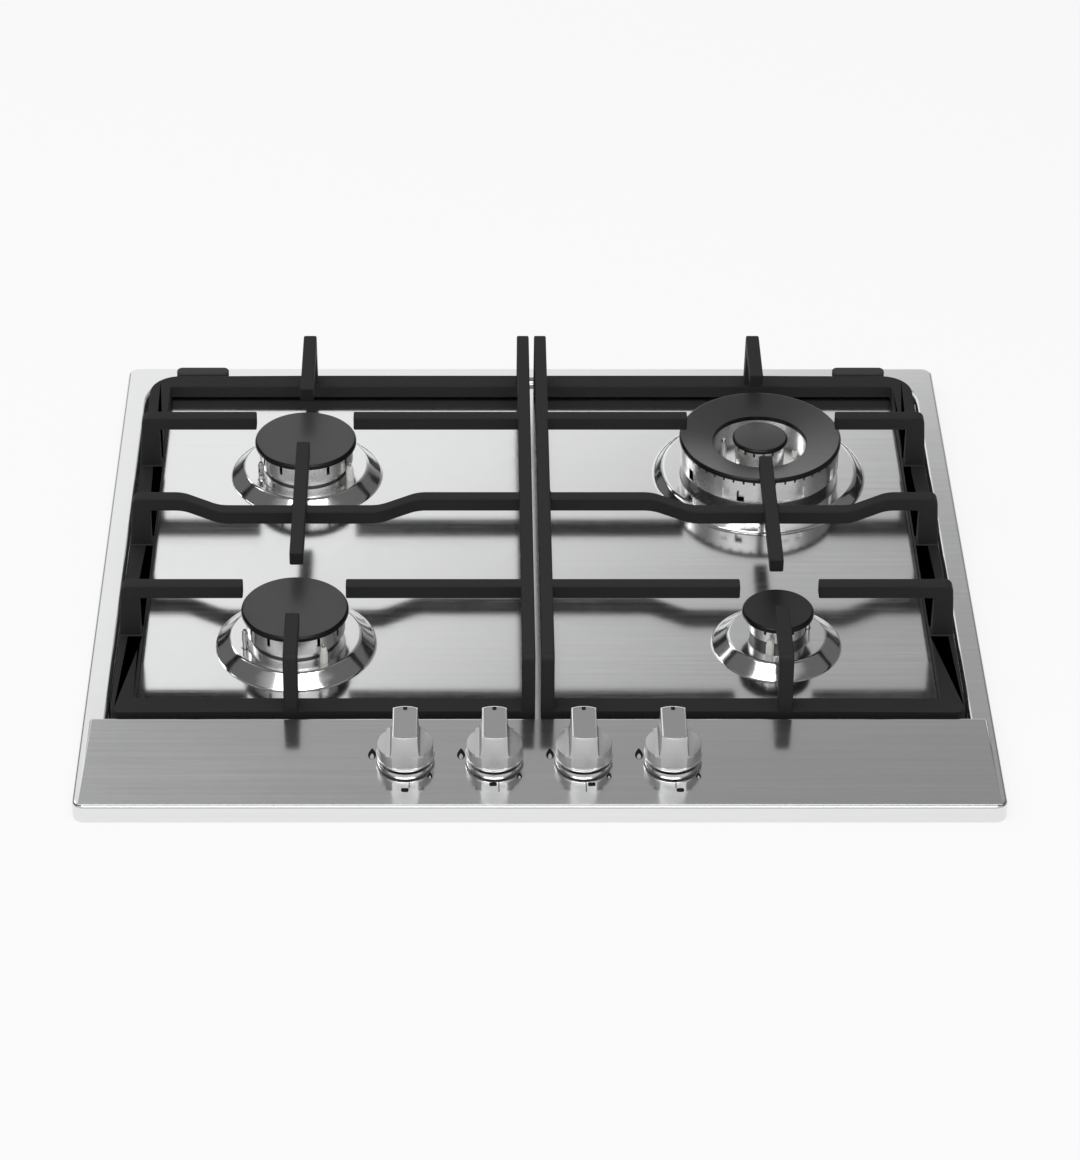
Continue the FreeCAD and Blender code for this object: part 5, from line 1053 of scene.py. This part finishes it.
@dataclass
class TripleCrown:
    """The rear right crown, with an outer band of notches and windows and an inner crown."""

    low: float = 20.0
    high: float = 38.0
    band: float = 55.8
    band_wall: float = 3.0
    floor: float = 23.0
    spigot: float = 40.6
    spigot_foot: float = 16.0
    inner_wall: tuple[float, float, float] = (34.0, 36.5, 32.5)
    hub: float = 17.4
    hub_top: float = 37.7
    tube: tuple[float, float, float] = (8.0, 10.0, 33.7)
    notches: int = 48
    notch: tuple[float, float] = (1.4, 2.4)
    window: tuple[float, float, float] = (1.3, 5.3, 8.4)
    window_foot: float = 21.2
    window_pairs: int = 8
    pair_spread: float = 5.6
    hub_slots: int = 16

    def build(self, cutting: GeometryTree) -> None:
        """Builds the crown and its two caps.

        Args:
            cutting: The tree that cuts rings of slots.
        """
        node = "burner_crown_rear_right"
        middle = centre_of(node)
        inner = self.band - self.band_wall
        near, far, wall_top = self.inner_wall
        bore, tube, tube_top = self.tube
        mesh = to_mesh(lathe([
            (self.spigot - 2, self.spigot_foot), (self.spigot, self.spigot_foot), (self.spigot, self.low),
            (self.band - 0.5, self.low), (self.band, self.low + 0.5), (self.band, self.high - 0.3),
            (self.band - 0.3, self.high), (inner, self.high), (inner, self.floor), (far, self.floor),
            (far, wall_top), (near, wall_top), (near, self.floor), (self.hub, self.floor),
            (self.hub, self.hub_top - 0.4), (self.hub - 0.4, self.hub_top), (self.hub - 3, self.hub_top),
            (self.hub - 3, self.floor), (tube, self.floor), (tube, tube_top), (bore, tube_top), (bore, self.low),
            (self.spigot - 2, self.low),
        ], middle, 144), node)
        wide, tall = self.notch
        depth, window_wide, window_tall = self.window
        step = math.tau / self.window_pairs
        lean = math.radians(self.pair_spread)
        windows = (self.window_pairs, self.band, self.window_foot + window_tall / 2,
                   (depth * 2, window_wide, window_tall))
        rings = (
            (self.notches, self.band - self.band_wall / 2, self.high - tall / 2 + 0.5, (7.0, wide, tall + 1), 0.0),
            (self.hub_slots, self.hub - 1.5, self.hub_top - 1.5, (7.0, 1.6, 5.0), 0.1),
            (*windows, step / 2 - lean), (*windows, step / 2 + lean),
        )
        for count, radius, height, size, first in rings:
            mesh = cutting.run(mesh, {
                "Count": count, "Radius": radius * MM, "Centre": (middle.x, middle.y, height * MM),
                "Slot": tuple(side * MM for side in size), "First": first, "Material": CROWN_METAL.material()})
        settle("crown_rear_right", shade(mesh, 30.0), CROWN_METAL, node)
        build_enamel_cap("burner_cap_rear_right", 0.45, RING_ENAMEL)
        build_enamel_cap("inner_cap_rear_right", 0.5, ENAMEL)
        LOG.info("burner rear_right: crown %d faces, ring cap and inner cap", len(mesh.polygons))


@dataclass
class Marks:
    """The generic marks printed on the control panel."""

    panel_front: float = -257.7
    panel_front_z: float = 13.3
    panel_rise: float = 4.2
    panel_depth: float = 84.7
    ink: float = 0.05

    def height(self, y: float) -> float:
        """Returns the panel's height at a depth."""
        return self.panel_front_z + self.panel_rise * (y - self.panel_front) / self.panel_depth

    def sheet(self, name: str, outline: Iterable[tuple[float, float]], finish: Finish, lift: float = 0.0) -> None:
        """Prints a closed outline on the panel.

        Args:
            name: The piece's name.
            outline: Corners in millimetres from above.
            finish: Its ink.
            lift: Extra height, for a print on a print.
        """
        work = bmesh.new()
        rise = self.ink + lift
        upper = [work.verts.new(Vector((x, y, self.height(y) + rise)) * MM) for x, y in outline]
        lower = [work.verts.new(spot.co - Vector((0, 0, (rise + 0.05) * MM))) for spot in upper]
        prism(work, lower, upper)
        bmesh.ops.recalc_face_normals(work, faces=work.faces)
        settle(name, to_mesh(work, name), finish, "hob_top", stands=False)

    def drop(self, x: float, y: float, wide: float, tall: float) -> list[tuple[float, float]]:
        """Returns the outline of a flame.

        Args:
            x: Middle of the flame.
            y: Foot of the flame.
            wide: Its width.
            tall: Its height.

        Returns:
            The outline's corners.
        """
        points = []
        for step in range(28):
            turn = math.tau * step / 28 - math.pi / 2
            up = (1 + math.sin(turn)) / 2
            pinch = (1 - up ** 1.7) ** 0.8 if up < 1 else 0.0
            points.append((x + wide / 2 * math.cos(turn) * (0.35 + 0.95 * pinch), y + tall * up))
        return points

    def box(self, left: float, front: float, right: float, back: float) -> list[tuple[float, float]]:
        """Returns the outline of a box."""
        return [(left, front), (right, front), (right, back), (left, back)]

    def patch(self, x: float, y: float, wide: float, deep: float, steps: int = 5) -> list[tuple[float, float]]:
        """Returns the outline of a rounded patch.

        Args:
            x: Its middle from left to right.
            y: Its middle from front to back.
            wide: Its width.
            deep: Its depth.
            steps: Steps round each corner.

        Returns:
            The outline's corners.
        """
        corner = deep * 0.3
        points = []
        for quarter in range(4):
            side = 1 if quarter in (0, 3) else -1
            end = 1 if quarter in (0, 1) else -1
            for step in range(steps + 1):
                angle = math.pi / 2 * (quarter + step / steps)
                points.append((x + side * (wide / 2 - corner) + corner * math.cos(angle),
                               y + end * (deep / 2 - corner) + corner * math.sin(angle)))
        return points

    def build(self) -> None:
        """Prints the marks beside each knob."""
        for place, (side, row) in MARK_SIDES.items():
            knob = centre_of(f"knob_{place.value}") / MM
            label = place.value
            for size, x, y, wide, tall, core_wide, core_tall in (
                    ("large", -21.3, -0.2, 4.6, 10.6, 2.3, 5.4), ("small", 15.8, -19.4, 2.9, 6.2, 1.3, 3.0)):
                self.sheet(f"{size}_flame_{label}", self.drop(knob.x + x, knob.y + y, wide, tall), INK)
                self.sheet(f"{size}_flame_core_{label}",
                           self.drop(knob.x + x, knob.y + y + 0.1, core_wide, core_tall), PALE_INK, 0.03)
            line = knob.x + (2.75 if side < 0 else 1.1)
            spot = knob.x + MARK_SPOTS[side, row]
            behind = row > 0
            self.sheet(f"burner_spot_{label}", self.patch(spot, knob.y - (24.6 if behind else 30.2), 4.8, 3.7), INK)
            front = knob.y - (32.0 if behind else 28.3)
            self.sheet(f"burner_line_{label}", self.box(line - 0.28, front, line + 0.28, knob.y - 22.5), INK)
            left, right = (line, line + 7.0) if side < 0 else (line - 6.5, line)
            self.sheet(f"burner_bar_{label}", self.box(left, knob.y - 27.5, right, knob.y - 27.2), PALE_INK)
        LOG.info("panel marks: %d knobs", len(MARK_SIDES))


MARK_SIDES = {Place.FRONT_LEFT: (-1, -1), Place.REAR_LEFT: (-1, 1), Place.REAR_RIGHT: (1, 1),
              Place.FRONT_RIGHT: (1, -1)}
MARK_SPOTS = {(-1, -1): 0.1, (-1, 1): -1.0, (1, 1): 4.7, (1, -1): 3.7}


@dataclass
class Fasteners:
    """Screws of the burner cups."""

    head: float = 2.2
    head_height: float = 2.2
    shank: float = 1.1
    shank_length: float = 8.5

    def build(self) -> None:
        """Builds the cup screws."""
        tree = screw_tree()
        work = bmesh.new()
        for island in islands("cup_screws"):
            low = min(spot.z for spot in island)
            x = sum(spot.x for spot in island) / len(island)
            y = sum(spot.y for spot in island) / len(island)
            work.verts.new((x, y, low + self.head_height * MM))
        mesh = tree.run(to_mesh(work, "screw_places"), {
            "Head radius": self.head * MM, "Head height": self.head_height * MM,
            "Shank radius": self.shank * MM, "Shank length": self.shank_length * MM,
            "Material": SPRUNG_STEEL.material()})
        settle("cup_fixing_screws", shade(mesh, 30.0), SPRUNG_STEEL, "cup_screws")
        LOG.info("cup screws: %d faces", len(mesh.polygons))


def islands(node: str) -> list[list[Vector]]:
    """Returns the corners of each separate solid of a CAD node."""
    work = joined(node)
    left = set(work.verts)
    found = []
    while left:
        queue = [left.pop()]
        group = []
        while queue:
            vert = queue.pop()
            group.append(vert.co.copy())
            for edge in vert.link_edges:
                other = edge.other_vert(vert)
                if other in left:
                    left.remove(other)
                    queue.append(other)
        found.append(group)
    work.free()
    return found


class Dressing:
    """Finishes of every CAD node whose own shape stays."""

    def build(self) -> None:
        """Smooths and dresses the nodes that no other class replaced."""
        shown = [name for name, node in frame["nodes"].items() if not node.hide_render]
        for name in shown:
            mesh = shade(merged_copy(name, 0.2), 35.0)
            weigh_normals(settle(f"{name}_dressed", mesh, SLOT_FINISH[slot_of(name)], name))
        LOG.info("dressed nodes: %d", len(shown))


# ---------------------------------------------------------------- studio


@dataclass
class Studio:
    """White surroundings, soft lamps, the worktop and the camera."""

    reach: float = 6.0
    hole: tuple[float, float] = (0.28, 0.245)
    soft: float = 0.55
    dim: float = 0.14
    front: float = 0.7
    lean: float = 0.6
    wall: tuple[tuple[float, float], ...] = (
        (0.0, 1.0), (0.54, 1.0), (0.57, 0.85), (0.6, 0.58), (0.62, 0.45), (0.65, 0.38), (0.7, 0.35), (0.76, 0.3),
        (1.0, 0.34))
    behind: tuple[float, float] = (0.1, 0.6)
    beside: tuple[float, float] = (0.25, 0.6)

    def world(self) -> None:
        """Makes the surroundings: a white wall low at the back that falls off to a grey studio."""
        world = bpy.data.worlds.new("studio")
        world.use_nodes = True
        bpy.context.scene.world = world
        graph = Graph(world.node_tree)
        world.node_tree.nodes.clear()
        axes = graph.add("ShaderNodeSeparateXYZ", {0: graph.add("ShaderNodeTexCoord").outputs["Generated"]}).outputs
        lean = graph.math("ADD", axes["Z"], graph.math("MULTIPLY", axes["X"], self.lean))
        wall = graph.ramp(lean, self.wall)
        behind = graph.spread(axes["Y"], *self.behind, 0.0, 1.0)
        middle = graph.spread(graph.math("ABSOLUTE", axes["X"]), *self.beside, 1.0, 0.0)
        before = graph.math("MULTIPLY", graph.spread(axes["Y"], -0.55, -0.2, 1.0, 0.0),
                            graph.spread(axes["Z"], 0.0, 0.3, 0.4, 1.0))
        room = graph.blend(before, (self.dim,) * 3, (self.front,) * 3)
        studio = graph.blend(graph.math("MULTIPLY", behind, middle), room, wall)
        path = graph.add("ShaderNodeLightPath")
        seen = graph.math("MAXIMUM", path.outputs["Is Camera Ray"], path.outputs["Is Transmission Ray"])
        lit = graph.blend(path.outputs["Is Glossy Ray"], (self.soft,) * 3, studio)
        shown = graph.add("ShaderNodeBackground", {"Color": graph.blend(seen, lit, (1.0, 1.0, 1.0)), "Strength": 1.0})
        graph.add("ShaderNodeOutputWorld", {"Surface": shown.outputs[0]})

    def floor(self) -> None:
        """Makes the pale worktop that the cooktop is set into."""
        work = bmesh.new()
        far = self.reach
        x, y = self.hole
        outer, inner = ([work.verts.new((side * wide, end * deep, 0)) for side, end in
                         ((-1, -1), (1, -1), (1, 1), (-1, 1))] for wide, deep in ((far, far), (x, y)))
        bridge(work, outer, inner)
        mesh = to_mesh(work, "worktop")
        material = bpy.data.materials.new("worktop_white")
        material.use_nodes = True
        graph = Graph(material.node_tree)
        material.node_tree.nodes.clear()
        path = graph.add("ShaderNodeLightPath")
        seen = graph.math("MAXIMUM", path.outputs["Is Camera Ray"], path.outputs["Is Glossy Ray"])
        plain = graph.add("ShaderNodeBsdfDiffuse", {"Color": (0.86, 0.86, 0.86, 1)})
        glow = graph.add("ShaderNodeEmission", {"Color": (1, 1, 1, 1), "Strength": 1.0})
        mixed = graph.add("ShaderNodeMixShader", {0: graph.math("MULTIPLY", seen, 0.8), 1: plain.outputs[0],
                                                  2: glow.outputs[0]})
        graph.add("ShaderNodeOutputMaterial", {"Surface": mixed.outputs[0]})
        mesh.materials.append(material)
        top = scratch("worktop", mesh)

    def lamp(self, name: str, place: tuple[float, float, float], size: tuple[float, float], power: float) -> None:
        """Adds a soft lamp that points at the cooktop.

        Args:
            name: The lamp's name.
            place: Where it hangs, in metres.
            size: Its width and height in metres.
            power: Its power in watts.
        """
        light = bpy.data.lights.new(name, "AREA")
        light.shape = "RECTANGLE"
        light.size, light.size_y = size
        light.energy = power
        obj = bpy.data.objects.new(name, light)
        obj.location = place
        obj.rotation_euler = (-Vector(place)).to_track_quat("-Z", "Y").to_euler()
        bpy.context.scene.collection.objects.link(obj)

    def camera(self) -> None:
        """Sets the camera at the photograph's viewing angle."""
        data = bpy.data.cameras.new("camera")
        data.sensor_fit = "HORIZONTAL"
        data.sensor_width = 36.0
        data.lens = 131.635
        data.shift_x = 0.0607
        data.clip_end = 50.0
        obj = bpy.data.objects.new("camera", data)
        obj.location = (-0.04115, -2.20936, 1.55542)
        obj.rotation_euler = (math.radians(54.934), 0.0, 0.0)
        bpy.context.scene.collection.objects.link(obj)
        bpy.context.scene.camera = obj

    def build(self) -> None:
        """Builds the studio."""
        bpy.context.scene.view_settings.view_transform = "Standard"
        self.world()
        self.floor()
        self.lamp("lamp_overhead", (-0.1, -1.0, 2.2), (1.9, 1.5), 24.0)
        self.lamp("lamp_back_left", (-1.8, 1.4, 1.9), (1.0, 1.0), 8.0)
        self.camera()
        LOG.info("studio: 2 lamps, worktop and camera")


def main() -> None:
    """Builds the whole cooktop and its studio."""
    build_brushing()
    build_casting()
    build_edge_wear_and_highlight()
    build_handling()
    SteelTop().build()
    PanSupports().build()
    Knob().build()
    cutting = slot_ring_tree()
    heads = (
        BurnerHead(Place.FRONT_LEFT, 33.0, 3.0, 12, 2.2, 8.0, ENAMEL),
        BurnerHead(Place.REAR_LEFT, 33.0, 3.0, 12, 2.2, 8.0, ENAMEL),
        BurnerHead(Place.FRONT_RIGHT, 18.6, 3.0, 12, 1.8, 6.0, DARK_ENAMEL),
    )
    for head in heads:
        head.build(cutting)
    TripleCrown().build(cutting)
    Marks().build()
    Fasteners().build()
    Dressing().build()
    Studio().build()


if __name__ == "__main__":
    main()
